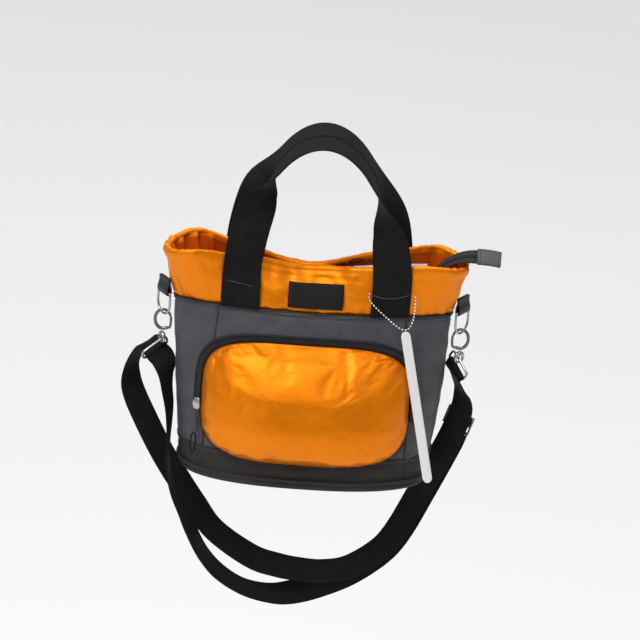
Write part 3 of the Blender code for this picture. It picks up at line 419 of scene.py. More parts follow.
def surface(name, rows, finish, body, wrap=False, ring=False, caps=False):
    """Mesh through rows of points with UVs in metres; wrap closes each row, ring joins the rows."""
    count, wide = len(rows), len(rows[0])
    middle = rows[count // 2]
    across = lengths(middle + [middle[0]])
    column = [row[wide // 2] for row in rows]
    along = lengths(column + [column[0]])
    faces, uvs = [], []
    for i in range(count if ring else count - 1):
        for j in range(wide if wrap else wide - 1):
            near, far = (j + 1) % wide, (i + 1) % count
            faces.append((i * wide + j, i * wide + near, far * wide + near, far * wide + j))
            uvs += [(across[j], along[i]), (across[j + 1], along[i]),
                    (across[j + 1], along[i + 1]), (across[j], along[i + 1])]
    if caps:
        for first in (0, (count - 1) * wide):
            faces.append(tuple(range(first, first + wide)))
            uvs += [(across[j], along[0]) for j in range(wide)]
    vertices = [point for row in rows for point in row]
    return place_mesh(name, vertices, faces, finish, body, uvs)


def solid(name, rows, finish, body):
    """A surface whose rows wrap round and whose two ends are capped."""
    return surface(name, rows, finish, body, wrap=True, caps=True)


WEBBING_SECTION = [(-1, -0.55), (-1, 0.55), (-0.975, 0.86), (-0.93, 1), (-0.6, 0.97), (-0.2, 1),
                   (0.2, 1), (0.6, 0.97), (0.93, 1), (0.975, 0.86), (1, 0.55), (1, -0.55),
                   (0.975, -0.86), (0.93, -1), (0.6, -0.97), (0.2, -1), (-0.2, -1), (-0.6, -0.97),
                   (-0.93, -1), (-0.975, -0.86)]
SLAB_SECTION = [(-1, -0.4), (-1, 0.4), (-0.95, 0.85), (-0.86, 1), (0, 1.06), (0.86, 1),
                (0.95, 0.85), (1, 0.4), (1, -0.4), (0.95, -0.85), (0.86, -1), (0, -1.06),
                (-0.86, -1), (-0.95, -0.85)]


def ribbon_rows(route, across, width, thick, section=WEBBING_SECTION):
    rows = []
    for point, along, wide in zip(route, tangents(route), across):
        wide = (wide - along * wide.dot(along)).normalized()
        up = along.cross(wide)
        rows.append([point + wide * (a * width / 2) + up * (b * thick / 2) for a, b in section])
    return rows


def tube_rows(route, radius, closed=False, sides=10):
    """Rings round a thin line of any shape."""
    rows = []
    up = Vector((0.31, 0.17, 0.93))
    for point, along in zip(route, tangents(route, closed)):
        up = (up - along * up.dot(along)).normalized()
        side = along.cross(up)
        rows.append([point + (up * cos(t) + side * sin(t)) * radius for t in around(sides)])
    return rows


def scatter(name, shape, frames, finish, body):
    """Copies of a small shape, given as vertices and faces, at many frames in one mesh."""
    corners, sides = shape
    vertices, faces = [], []
    for turn in frames:
        first = len(vertices)
        vertices += [turn @ corner for corner in corners]
        faces += [tuple(first + i for i in side) for side in sides]
    return place_mesh(name, vertices, faces, finish, body)


def frame_at(point, along, up):
    across = up.cross(along).normalized()
    turn = Matrix((along, across, along.cross(across))).transposed().to_4x4()
    turn.translation = point
    return turn


def bead(length, wide, tall, sides=6, rings=(0.0, 0.35, 0.75, 1.0, 0.75, 0.35, 0.0)):
    """A rounded grain of thread or metal, long in x."""
    corners, faces = [], []
    last = len(rings) - 1
    for i, size in enumerate(rings):
        x = length * (i / last - 0.5)
        size = max(size, 0.12)
        for k in range(sides):
            turn = 2 * pi * k / sides
            corners.append(Vector((x, wide / 2 * size * cos(turn), tall / 2 * size * sin(turn))))
    for i in range(last):
        for k in range(sides):
            near = (k + 1) % sides
            faces.append((i * sides + k, i * sides + near, (i + 1) * sides + near,
                          (i + 1) * sides + k))
    faces += [tuple(range(sides)), tuple(range(last * sides, (last + 1) * sides))]
    return corners, faces


STITCH = bead(2.6 * MM, 0.62 * MM, 0.5 * MM, rings=(0.2, 0.8, 1.0, 1.0, 0.8, 0.2))
BOLD_STITCH = bead(2.7 * MM, 1.15 * MM, 0.9 * MM, rings=(0.2, 0.8, 1.0, 1.0, 0.8, 0.2))
TOOTH = bead(1.15 * MM, 3.4 * MM, 2.2 * MM, sides=8, rings=(0.55, 0.9, 1.0, 0.9, 0.55))
BALL = bead(2.3 * MM, 2.3 * MM, 2.3 * MM, sides=10, rings=(0.1, 0.6, 0.87, 1.0, 0.87, 0.6, 0.1))


def stitches(name, route, ups, finish, body, step=3.4 * MM, shape=None):
    frames = [frame_at(p, along, up.normalized()) for p, along, up in evenly(route, [ups], step)]
    return scatter(name, shape or STITCH, frames, finish, body)


def open_copy(node):
    """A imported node's mesh with its split corners joined, open for editing."""
    work = bmesh.new()
    work.from_mesh(NODES[node].data)
    bmesh.ops.remove_doubles(work, verts=work.verts, dist=1e-6)
    return work


def polished(node, body, finish, swell=0.13 * MM):
    """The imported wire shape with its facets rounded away."""
    work = open_copy(node)
    bmesh.ops.join_triangles(work, faces=work.faces, angle_face_threshold=0.7,
                             angle_shape_threshold=1.2)
    work.normal_update()
    for vertex in work.verts:
        vertex.co += vertex.normal * swell
    return finish_copy(node, work, body, finish, "SUBSURF")


def bevelled(node, body, finish, width=0.35 * MM):
    """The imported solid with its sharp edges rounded."""
    work = open_copy(node)
    bmesh.ops.dissolve_limit(work, angle_limit=radians(2), verts=work.verts, edges=work.edges)
    piece = finish_copy(node, work, body, finish, "BEVEL")
    piece.modifiers[0].width = width
    piece.modifiers[0].segments = 3
    return piece


def finish_copy(node, work, body, finish, kind):
    """Turns an edited copy into the piece that stands for its node."""
    mesh = NODES[node].data.copy()
    work.to_mesh(mesh)
    work.free()
    mesh.materials.clear()
    mesh.materials.append(finish)
    mesh.shade_smooth()
    mesh.set_sharp_from_angle(angle=radians(50))
    piece = add_object(f"{node}_metal", mesh)
    rounding = piece.modifiers.new("round", kind)
    if kind == "SUBSURF":
        mesh.set_sharp_from_angle(angle=pi)
        rounding.levels = 2
        rounding.render_levels = 2
    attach(piece, body)
    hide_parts(node)
    return piece


# ---------------------------------------------------------------- camera

CAMERA_TARGET = Vector((7.7, 0, 159.7)) * MM
CAMERA_DISTANCE = 7.0
CAMERA_ELEVATION = radians(21)
CAMERA_ROLL = radians(3.9)
SENSOR_WIDTH = 36
VIEW_WIDTH = 0.64


def add_camera():
    data = bpy.data.cameras.new("camera")
    data.sensor_width = SENSOR_WIDTH
    data.lens = SENSOR_WIDTH * CAMERA_DISTANCE / VIEW_WIDTH
    camera = add_object("camera", data)
    back = Vector((0, -cos(CAMERA_ELEVATION), sin(CAMERA_ELEVATION)))
    turn = back.to_track_quat("Z", "Y").to_matrix().to_4x4()
    place = CAMERA_TARGET + LOWER + back * CAMERA_DISTANCE
    camera.matrix_world = Matrix.Translation(place) @ turn @ Matrix.Rotation(CAMERA_ROLL, 4, "Z")
    bpy.context.scene.camera = camera


add_camera()


# ---------------------------------------------------------------- shoulder strap and tag chain

# Middle line of the two runs in millimetres, then the direction of the width at each point.
OUTER_RUN = [
    ((-163, 9, 121), (0.74, 0.55, 0.35)), ((-172, 14, 108), (0.62, 0.75, 0.10)),
    ((-178, 16, 93), (0.55, 0.83, 0.02)), ((-178, 16, 76), (0.75, 0.65, 0.10)),
    ((-173, 15, 60), (0.85, 0.50, 0.20)), ((-160.5, 13, 35), (0.84, 0.40, 0.36)),
    ((-144, 11, 5), (0.80, 0.45, 0.40)), ((-128, 10, -20), (0.78, 0.45, 0.43)),
    ((-106, 8, -51), (0.70, 0.50, 0.50)), ((-84, 6, -78), (0.52, 0.62, 0.59)),
    ((-46, 3, -102), (0.24, 0.50, 0.83)), ((-19, 3, -110), (0.12, 0.30, 0.95)),
    ((4, 4, -113.5), (0.03, 0.15, 0.98)),
    ((27, 7, -115), (-0.06, 0.10, 1.0)), ((53, 10, -110), (-0.32, 0.10, 0.94)),
    ((82, 16, -92), (-0.62, 0.15, 0.77)), ((99, 21, -71), (-0.75, 0.25, 0.61)),
    ((119, 28, -31), (-0.86, 0.25, 0.44)), ((142, 22, 24), (-0.86, 0.30, 0.41)),
    ((150.5, 17, 48), (-0.84, 0.34, 0.42)), ((154.5, 14, 62), (-0.82, 0.38, 0.42)),
    ((156.5, 11, 75), (-0.76, 0.46, 0.46)), ((155, 7.5, 88), (-0.66, 0.52, 0.54)),
    ((150, 4, 100), (-0.56, 0.58, 0.58))]
INNER_RUN = [
    ((-146.8, -0.5, 107.6), (0.76, 0.40, 0.45)), ((-143, -6, 95), (0.50, 0.82, 0.25)),
    ((-140.5, -8, 78), (0.34, 0.93, 0.08)), ((-137.5, -9, 61), (0.26, 0.96, 0.04)),
    ((-136.3, -12, 43), (0.16, 0.98, 0.02)), ((-136, -15, 24), (0.08, 0.99, 0.02)),
    ((-135.6, -17, 6), (0.06, 0.99, 0.02)), ((-133, -17, -11), (0.10, 0.99, 0.04)),
    ((-127, -16, -29), (0.18, 0.97, 0.08)), ((-118, -16, -48), (0.23, 0.95, 0.12)),
    ((-109, -15.5, -68), (0.25, 0.93, 0.20)), ((-95, -8, -97), (0.24, 0.93, 0.16)),
    ((-77.5, 0, -120), (0.20, 0.93, 0.25)), ((-52.5, 5, -137), (0.10, 0.94, 0.32)),
    ((-25, 9, -144), (0.08, 0.85, 0.50)), ((-2, 11, -142), (0.03, 0.55, 0.83)),
    ((26, 15, -134), (-0.18, 0.20, 0.96)),
    ((56, 19, -120), (-0.40, 0.15, 0.90)), ((86, 26, -98), (-0.60, 0.18, 0.78)),
    ((104, 31, -74), (-0.76, 0.24, 0.60)), ((124, 37, -33), (-0.86, 0.25, 0.44)),
    ((146.5, 30, 22), (-0.86, 0.30, 0.41)), ((152.6, 23.5, 42), (-0.84, 0.34, 0.42))]
LEFT_WRAP = (45, 92)
RIGHT_WRAP = (0, 180)
CHAIN_ROUTE = [(55.5, -31.5, 205), (55, -34.5, 199), (61, -36.5, 192), (73, -38, 182),
               (85, -38.5, 172.5), (91, -38.5, 170.2), (96, -38.5, 171.5), (99.5, -38.5, 179),
               (101, -38.5, 190), (101, -37.5, 200), (100.5, -35.5, 206)]
STRAP_STEPS = 6


def loop_frame(end):
    """Middle of the strap loop's eye bar, the bar's direction and the way the loop hangs."""
    along = Vector((0.76, 0.40, 0.52) if end < 0 else (0.50, -0.60, -0.62)).normalized()
    hang = Vector((-0.3, 0.2, -0.9) if end < 0 else (0, 0, -1))
    down = (hang - along * hang.dot(along)).normalized()
    shift = -10 * MM if end < 0 else 4 * MM
    return Vector((end * HOOK_X, 0, LOOP_BAR_Z)) + along * shift, along, down


def bar_wrap(end, first, last, count):
    """Points round the loop's strap bar, from angle first to last; zero is the front."""
    middle, along, down = loop_frame(end)
    bar = middle + down * LOOP_DEPTH
    reach = LOOP_WIRE + 2 * GAP + STRAP_THICK / 2
    back = along.cross(down).normalized()
    turns = [radians(a) for a in spread(first, last, count)]
    route = [bar - (back * cos(a) + down * sin(a)) * reach for a in turns]
    ways = [back * sin(a) - down * cos(a) for a in turns]
    return route, ways, along


def strap_outer_route():
    """Over the left loop's bar, down and along the outside, up to the right loop and round it."""
    start, _, start_wide = bar_wrap(-1, *LEFT_WRAP, 4)
    finish, arriving, finish_wide = bar_wrap(1, *RIGHT_WRAP, 10)
    finish_wide = -finish_wide
    middle = from_mm(p for p, wide in OUTER_RUN)
    widths = [Vector(wide) for p, wide in OUTER_RUN]
    lead_in = finish[0] - arriving[0] * (4 * MM)
    ahead = smooth_route([start[-1]] + middle + [lead_in], STRAP_STEPS)
    turn = smooth_route([start_wide] + widths + [finish_wide], STRAP_STEPS)
    tail = [finish[-1] + arriving[-1] * (k * MM) for k in (3, 6, 9)]
    return start[:-1] + ahead + finish + tail, [start_wide] * 3 + turn + [finish_wide] * 13


def strap_inner_route():
    """From the front of the left loop's bar, down and along the inside, to the adjuster."""
    start, leaving, start_wide = bar_wrap(-1, *LEFT_WRAP, 4)
    first = [start[0] - leaving[0] * (k * MM) for k in (0.4, 2.5)]
    middle = from_mm(p for p, wide in INNER_RUN)
    widths = [Vector(wide) for p, wide in INNER_RUN]
    route = first + smooth_route([first[1]] + middle, STRAP_STEPS)[1:]
    return route, [start_wide] + smooth_route([start_wide] + widths, STRAP_STEPS)


def strap_ends(name, route, across, first, last):
    """Two rows of stitching across the webbing, between two distances from its start."""
    run = lengths(route)
    frames = []
    ways = tangents(route)
    for at in (first, last):
        index = min(range(len(run)), key=lambda i: abs(run[i] - at))
        wide = (across[index] - ways[index] * across[index].dot(ways[index])).normalized()
        up = ways[index].cross(wide)
        for k in spread(-0.42, 0.42, 7):
            for side in (-1, 1):
                place = route[index] + wide * (k * STRAP_WIDTH) + up * (side * STRAP_THICK / 2)
                frames.append(frame_at(place, wide, up * side))
    return scatter(name, STITCH, frames, THREAD_BLACK, "strap")


def gate_rod(side, end):
    """The snap's gate: a round rod that closes the claw's oval."""
    x = end * (HOOK_X - CLAW_HALF_WIDTH)
    stations = ((5.5, 140.2), (1.5, 141.6), (0, 144), (-0.6, 147), (-0.6, 150), (-0.2, 152.4))
    route = [Vector((x + end * k * 0.3 * MM, 0, z * MM)) for k, z in stations]
    rows = tube_rows(smooth_route(route, 3), 1.3 * MM, sides=12)
    rod = solid(f"gate_{side}_rod", rows, SMOKED, f"gate_{side}")
    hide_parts(f"gate_{side}")
    return rod


def add_straps():
    metals = []
    for side, end in SIDES:
        metals.append(polished(f"claw_{side}", f"claw_{side}", SMOKED, 0.03 * MM))
        metals.append(gate_rod(side, end))
        metals += [polished(f"{part}_{side}", "strap", NICKEL)
                   for part in ("swivel", "strap_loop")]
    metals.append(bevelled("strap_adjuster", "strap_adjuster", NICKEL, 0.5 * MM))
    for name, made, length in (("strap_outer", strap_outer_route(), OUTER_LENGTH),
                               ("strap_inner", strap_inner_route(), INNER_LENGTH)):
        route, across = made
        rows = ribbon_rows(route, across, STRAP_WIDTH, STRAP_THICK * 1.05)
        strap = solid(f"{name}_webbing", rows, WEBBING, "strap")
        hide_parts(name)
        sewn = strap_ends(f"{name}_stitches", route, across, 16 * MM, 22 * MM)


def add_chain():
    route = smooth_route(from_mm(CHAIN_ROUTE), 6)
    spots = evenly(route, [], 3.3 * MM)
    balls = scatter("chain_balls", BALL, [frame_at(p, along, Vector((0, -1, 0.2)))
                                          for p, along in spots], BRIGHT, "bag")
    thin = solid("chain_wire", tube_rows(route, 0.35 * MM, sides=6), NICKEL, "bag")
    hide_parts("tag_chain")


add_straps()
add_chain()


# ---------------------------------------------------------------- shell outlines

def half_width(z):
    share = z / SEAM_HEIGHT
    return blend(BASE_HALF_WIDTH, SEAM_HALF_WIDTH, share) + 1.2 * MM * sin(pi * share)


def half_depth(z):
    return blend(BASE_HALF_DEPTH, SEAM_HALF_DEPTH, (max(z, 0) / SEAM_HEIGHT) ** 1.2)


def roundness(z):
    return blend(2.4, 2.0, z / SEAM_HEIGHT)


def wall_point(turn, z, out=0.0):
    """Point of the wall at an angle from the middle of the front, out metres proud of it."""
    power = 2 / roundness(z)
    x = (half_width(z) + out) * signed_power(sin(turn), power)
    y = -(half_depth(z) + out) * signed_power(cos(turn), power)
    return Vector((x, y, z))


def front_point(x, z, out=0.0):
    """Point of the front wall at a given x and z, out metres proud of it."""
    n = roundness(z)
    share = min(abs(x) / (half_width(z) + out), 0.999)
    return Vector((x, -(half_depth(z) + out) * (1 - share ** n) ** (1 / n), z))


def panel_seam(z):
    return blend(PANEL_SEAM_BASE, PANEL_SEAM_TOP, z / SEAM_HEIGHT)


def seam_turns(z):
    near = panel_seam(z)
    return near, pi - near, pi + near, 2 * pi - near


def pocket_edge(angle, grow):
    power = 2 / POCKET_POWER
    x = POCKET_X + (POCKET_HALF_WIDTH + grow) * signed_power(cos(angle), power)
    z = POCKET_Z + (POCKET_HALF_HEIGHT + grow) * signed_power(sin(angle), power)
    return x, z


def pocket_reach(x, z):
    """How far out a point lies from the pocket's middle; 1 on its outline."""
    a = abs((x - POCKET_X) / POCKET_HALF_WIDTH) ** POCKET_POWER
    b = abs((z - POCKET_Z) / POCKET_HALF_HEIGHT) ** POCKET_POWER
    return (a + b) ** (1 / POCKET_POWER)


# ---------------------------------------------------------------- grey body and base band

def body_relief(turn, z):
    """Soft folds of the grey nylon, its panel seams and its hem, as metres out of the wall."""
    point = wall_point(turn, z)
    girth = half_width(z)
    out = 1.3 * MM * drift(point.x * 24, point.y * 30, z * 17 + 3)
    out += 0.8 * MM * drift(point.x * 48 + z * 40, point.y * 60, z * 60)
    for seam in seam_turns(z):
        away = (turn - seam) * girth * 0.8
        out += 0.7 * MM * bump(abs(away), 4 * MM, 3 * MM) - 1.9 * MM * bump(away, 0, 1.3 * MM)
        pull = drift(seam * 9, z * 90, 0)
        out += 0.5 * MM * pull * bump(away, 0, 9 * MM)
    if point.y < 0:
        reach = pocket_reach(point.x, point.z)
        slant = sin((abs(point.x) * 0.8 + z) / (5.5 * MM) + 2 * drift(point.x * 20, 0, z * 20))
        corner = bump(abs(point.x), 116 * MM, 20 * MM) * bump(z, 132 * MM, 40 * MM)
        corner += 0.8 * bump(z, 163 * MM, 9 * MM) * bump(point.x, -60 * MM, 60 * MM)
        out += 0.9 * MM * slant * corner
        if reach < 1.13:
            out = min(out, 0.1 * MM) * ease((reach - 1.0) / 0.13) - 0.25 * MM
    else:
        drape = sin(point.x / (13 * MM) + 5 * sin(z * 19))
        out += 0.7 * MM * drape * sin(pi * z / SEAM_HEIGHT)
    out -= 1.0 * MM * bump(z, SEAM_HEIGHT - 5.2 * MM, 0.9 * MM)
    out += 0.5 * MM * ease((z - SEAM_HEIGHT + 5 * MM) / (2 * MM))
    out -= 1.6 * MM * bump(z, SEAM_HEIGHT, 0.8 * MM)
    return out


def add_body():
    heights = spread(BAND_HEIGHT - 0.5 * MM, SEAM_HEIGHT, 120)
    turns = around(ROUND_STEPS)
    rows = [[wall_point(t, z, body_relief(t, z)) for t in turns] for z in heights]
    join = [wall_point(t, SEAM_HEIGHT - 0.2 * MM, 0.1 * MM) for t in turns]
    surface("collar_seam_line", tube_rows(join, 0.9 * MM, True, 8), THREAD_BLACK, "bag",
            wrap=True, ring=True)
    shell = surface("body_nylon", rows, GREY, "bag", wrap=True)
    thick = shell.modifiers.new("cloth", "SOLIDIFY")
    thick.thickness = 0.9 * MM
    thick.offset = -1
    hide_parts("front_panel", "back_panel", "side_panel_left", "side_panel_right")
    top = SEAM_HEIGHT - 2.9 * MM
    hem = [wall_point(t, top, body_relief(t, top) + 0.15 * MM) for t in turns + turns[:1]]
    ups = [outward(t) for t in turns + turns[:1]]
    stitches("hem_stitches", hem, ups, THREAD_BLACK, "bag", 4 * MM, BOLD_STITCH)
    seams = []
    for number in range(4):
        run = spread(BAND_HEIGHT + 2 * MM, SEAM_HEIGHT - 6 * MM, 60)
        valley = [wall_point(t, z, body_relief(t, z) + 0.5 * MM)
                  for t, z in ((seam_turns(z)[number], z) for z in run)]
        solid(f"seam_line_{number}", tube_rows(valley, 0.85 * MM, sides=6), THREAD_BLACK,
                "bag")
        turn = [seam_turns(z)[number] + 0.022 * (1 if number % 2 == 0 else -1) for z in run]
        line = [wall_point(t, z, body_relief(t, z) + 0.1 * MM) for t, z in zip(turn, run)]
        seams.append(stitches(f"seam_stitches_{number}", line,
                              [outward(t) for t in turn],
                              THREAD_GREY, "bag"))
    return shell


def band_relief(turn, z):
    point = wall_point(turn, z)
    level = sin(z / (2.6 * MM) + 3.5 * drift(point.x * 14, point.y * 14, 2))
    out = 0.45 * MM * level * sin(pi * z / BAND_HEIGHT)
    out += 1.1 * MM * drift(point.x * 16, point.y * 22, z * 70)
    for seam in seam_turns(z):
        out -= 1.0 * MM * bump((turn - seam) * half_width(z) * 0.8, 0, 1.1 * MM)
    return out


def add_band():
    turns = around(ROUND_STEPS)
    rows = []
    for z, out in ((1.2 * MM, -7 * MM), (0.3 * MM, -5 * MM), (0.15 * MM, -2.5 * MM),
                   (0.5 * MM, -0.9 * MM), (1.6 * MM, 0)):
        rows.append([wall_point(t, z, out) for t in turns])
    for z in spread(3 * MM, BAND_HEIGHT - 1.5 * MM, 30):
        near = ease((z - 2 * MM) / (5 * MM)) * ease((BAND_HEIGHT - z) / (4 * MM))
        rows.append([wall_point(t, z, 0.5 * MM + band_relief(t, z) * near) for t in turns])
    for z, out in ((BAND_HEIGHT - 0.4 * MM, 0.9 * MM), (BAND_HEIGHT + 0.5 * MM, 0.8 * MM),
                   (BAND_HEIGHT + 0.9 * MM, 0.2 * MM), (BAND_HEIGHT + 0.3 * MM, -1.0 * MM)):
        rows.append([wall_point(t, z, out) for t in turns])
    band = surface("base_twill", rows, TWILL, "bag", wrap=True)
    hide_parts("base_band")
    route = [wall_point(t, PIPING_HEIGHT, 1.3 * MM + 0.3 * MM
                        * drift(sin(t) * 9, cos(t) * 9, 0))
             for t in turns]
    piping = surface("piping", tube_rows(route, 1.7 * MM, True), TWILL, "bag",
                     wrap=True, ring=True)
    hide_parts("base_piping")
    ups = [outward(t) for t in turns + turns[:1]]
    for name, z in (("band_stitches_top", BAND_HEIGHT - 2.4 * MM),
                    ("band_stitches_low", PIPING_HEIGHT + 3.4 * MM)):
        line = [wall_point(t, z, 0.65 * MM + band_relief(t, z) * 0.55) for t in turns + turns[:1]]
        stitches(name, line, ups, THREAD_GREY if "top" in name else THREAD_BLACK, "bag")
    NODES["base_panel"].data.materials.clear()
    NODES["base_panel"].data.materials.append(TWILL)


def add_lining():
    heights = spread(5 * MM, SEAM_HEIGHT + 6 * MM, 50)
    turns = around(260)
    rows = []
    for z in heights:
        low = min(z, SEAM_HEIGHT)
        row = []
        for t in turns:
            fold = sin(t * 26 + 3 * drift(cos(t) * 2, z * 20, 0))
            row.append(wall_point(t, low, -4.6 * MM + 0.7 * MM * fold) + Vector((0, 0, z - low)))
        rows.append(row)
    # The darkened lining colour is painted shade inside the bag.
    inside = surface("lining_cloth", rows, LINING_PAINTED_SHADE, "bag", wrap=True)
    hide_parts("lining")


# ---------------------------------------------------------------- collar

def rim_gap(x):
    """Half of the mouth's width at x, to the middle of the collar's thickness."""
    reach = (RIM_HALF_WIDTH - COLLAR_HALF) - RIM_END_START
    past = abs(x) - RIM_END_START
    if past > 0:
        return RIM_END_GAP * sqrt(max(1 - (past / reach) ** 2, 0))
    return through(RIM_GAP, x)


def collar_point(turn, share, out):
    """Point of the collar: share runs up from the seam to the rim, out from its mid surface."""
    sine, cosine = sin(turn), cos(turn)
    rim_x = (RIM_HALF_WIDTH - COLLAR_HALF) * sine
    seam = Vector(((SEAM_HALF_WIDTH - COLLAR_HALF) * sine,
                   -(SEAM_HALF_DEPTH - COLLAR_HALF) * cosine, SEAM_HEIGHT))
    rim = Vector((rim_x, -copysign(rim_gap(rim_x), cosine), through(RIM_HEIGHT, rim_x)))
    puff = COLLAR_PUFF * 4 * share * (1 - share) * cosine * cosine
    return seam.lerp(rim, share) + outward(turn) * (out + puff)


def end_run(turn):
    """Distance along the rim from its nearer end."""
    rim_x = abs((RIM_HALF_WIDTH - COLLAR_HALF) * sin(turn))
    reach = (RIM_HALF_WIDTH - COLLAR_HALF) - RIM_END_START
    past = (rim_x - RIM_END_START) / reach
    if past > 0:
        return acos(min(past, 1)) * RIM_END_GAP
    return RIM_END_GAP * pi / 2 + RIM_END_START - rim_x


def near_end(turn):
    """0 along the front and back of the collar, 1 at the two ends of the mouth."""
    return ease((abs(sin(turn)) - 0.86) / 0.12)


def collar_relief(turn, share):
    """Puff, puckers at the seam and soft dents of the collar's outside."""
    sine, cosine = sin(turn), cos(turn)
    out = 2.4 * MM * drift(sine * 7.5, cosine * 3, share * 1.5 + 5) * sin(pi * min(share + 0.15, 1))
    out += 1.3 * MM * drift(sine * 13 + share * 2, cosine * 6, share * 3.5)
    pucker = drift(sine * 21, cosine * 12, share * 1.1 + 9)
    out += 1.5 * MM * pucker * exp(-share / 0.25)
    out += 0.9 * MM * pucker * bump(share, 0.86, 0.14)
    out -= 3.0 * MM * exp(-share / 0.045)
    out -= 0.55 * MM * bump(share, 0.83, 0.045)
    out += 0.8 * MM * bump(share, 0.95, 0.06)
    end = near_end(turn)
    crinkle = sin(end_run(turn) / (1.5 * MM) + 4 * drift(turn, 0, 4))
    out += 0.45 * MM * crinkle * end * bump(share, 1.0, 0.16)
    out -= 1.2 * MM * bump(end_run(turn), 0, 1.3 * MM) * sin(pi * min(share, 0.5))
    return out


def inside_fold(turn, share):
    """Upright folds inside the two ends of the mouth, deeper at the open left end."""
    run = end_run(turn)
    left = sin(turn) < 0
    depth = 5.5 * MM if left else 2.0 * MM
    wave = cos(2 * pi * run / (17 * MM) + (0.6 if cos(turn) < 0 else 2.2))
    wave = signed_power(wave, 0.7)
    window = ease((78 * MM - run) / (30 * MM))
    return depth * wave * window * (0.35 + 0.65 * (1 - share) ** 0.6)


def collar_row(turn):
    """Up the outside of the collar, over the rim and down the inside."""
    normal = outward(turn)
    shares = [1 - cos(pi / 2 * k / 30) for k in range(31)]
    shares = [0.5 * (s + k / 30) for k, s in enumerate(shares)]
    row = [collar_point(turn, s, COLLAR_HALF + collar_relief(turn, s)) for s in shares]
    rim = collar_point(turn, 1, 0)
    outer = COLLAR_HALF + collar_relief(turn, 1)
    inner = COLLAR_HALF - 0.2 * MM
    end = near_end(turn)
    crinkle = drift(sin(turn) * 34, cos(turn) * 34, 0)
    for angle in spread(radians(15), radians(165), 11):
        radius = blend(outer, inner, angle / pi)
        lift = 1.12 + 0.36 * crinkle * (0.3 + end)
        row.append(rim + normal * (cos(angle) * radius)
                   + Vector((0, 0, 1)) * (sin(angle) * radius * lift))
    for s in spread(1, -0.05, INSIDE_COLUMNS):
        depth = -inner + min(inside_fold(turn, s), 2.6 * MM)
        row.append(collar_point(turn, s, depth))
    return row


def add_collar():
    turns = around(520)
    rows = [collar_row(t) for t in turns]
    collar = surface("collar_satin", rows, SATIN, "bag", ring=True)
    # Faces inside the mouth get the darker satin, as painted shade.
    collar.data.materials.append(SATIN_PAINTED_SHADE)
    wide = len(rows[0])
    for face in collar.data.polygons:
        inside = min(v % wide for v in face.vertices) > wide - INSIDE_COLUMNS
        face.material_index = int(inside)
    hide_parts("collar_front", "collar_back", "collar_padding_front",
                "collar_padding_back")


def collar_at(x, share, out, side):
    """Point of the outer collar at a given x; side is -1 for the front and 1 for the back."""
    reach = blend(SEAM_HALF_WIDTH, RIM_HALF_WIDTH, share) - COLLAR_HALF + out
    turn = asin(x / reach)
    point = collar_point(turn, share, out)
    return Vector((x, -side * point.y, point.z))


def add_patch():
    """Blank leather patch with a sewn edge."""
    rows = []
    low, high = COLLAR_HALF + ON_COLLAR - 0.3 * MM, COLLAR_HALF + ON_COLLAR + 1.0 * MM
    for k in spread(0, 1, 25):
        x = blend(*PATCH_SPAN, k)
        edge = min(ease(k / 0.04), ease((1 - k) / 0.04))
        row = []
        for share, lift in ((0.13, 0), (0.132, 0.75), (0.145, 1), (0.25, 1), (0.43, 1), (0.6, 1),
                            (0.715, 1), (0.728, 0.75), (0.73, 0)):
            row.append(collar_at(x, share, low + (high - low) * min(lift, 0.2 + 0.8 * edge), -1))
        rows.append(row + [collar_at(x, s, low - 0.6 * MM, -1) for s in (0.73, 0.43, 0.13)])
    patch = solid("patch", rows, PATCH, "bag")
    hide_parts("label_patch")
    corners = [(-23.3 * MM, 0.165), (27.3 * MM, 0.165), (27.3 * MM, 0.695), (-23.3 * MM, 0.695)]
    line = []
    for a, b in zip(corners, corners[1:] + corners[:1]):
        line += [(blend(a[0], b[0], k / 20), blend(a[1], b[1], k / 20)) for k in range(20)]
    line.append(line[0])
    route = [collar_at(x, s, high, -1) for x, s in line]
    stitches("patch_stitches", route, [Vector((0, -1, 0.25))] * len(route), THREAD_BLACK, "bag",
             step=3 * MM)


# ---------------------------------------------------------------- handles

def strand_x(end):
    return HANDLE_CENTRE + end * HANDLE_HALF_SPAN


def flat_row(end, share, out, side):
    """Middle line point and width direction of a handle on the collar."""
    edges = [collar_at(strand_x(end) + k * HANDLE_WIDTH / 2, share, out, side) for k in (-1, 1)]
    middle = collar_at(strand_x(end), share, out, side)
    return middle.lerp((edges[0] + edges[1]) / 2, 0.3), (edges[1] - edges[0]).normalized()


def arch_row(angle, side):
    """Middle and width direction of the arch above the rim, angle 0 left to pi right."""
    end = -1 if angle < pi / 2 else 1
    rise = degrees(min(angle, pi - angle))
    rise_height = GRIP_HEIGHT - HANDLE_THICK / 2 - HANDLE_FOOT
    foot = COLLAR_HALF + ON_COLLAR + HANDLE_THICK / 2
    outer = collar_at(strand_x(end) + end * HANDLE_WIDTH / 2, 1, foot, side)
    inner = collar_at(strand_x(end) - end * HANDLE_WIDTH / 2, 1, foot, side)
    foot_y = abs(outer.y + inner.y) / 2 + 2.5 * MM
    middle = Vector((HANDLE_CENTRE - HANDLE_HALF_SPAN * cos(angle),
                     side * blend(foot_y, HANDLE_TOP_Y, ease(rise / 60)),
                     HANDLE_FOOT + rise_height * sin(angle)))
    along = Vector((HANDLE_HALF_SPAN * sin(angle), 0, rise_height * cos(angle)))
    along.normalize()
    wide = (inner - outer) * Vector((1, 1, 0))
    wide = wide.normalized().lerp(Vector((-end, 0, 0)), ease(rise / 25))
    first, span = (22, 34) if end < 0 else (2, 50)
    wide = wide.lerp(Vector((0, -side, 0)), ease((rise - first) / span))
    return middle, (wide - along * wide.dot(along)).normalized()


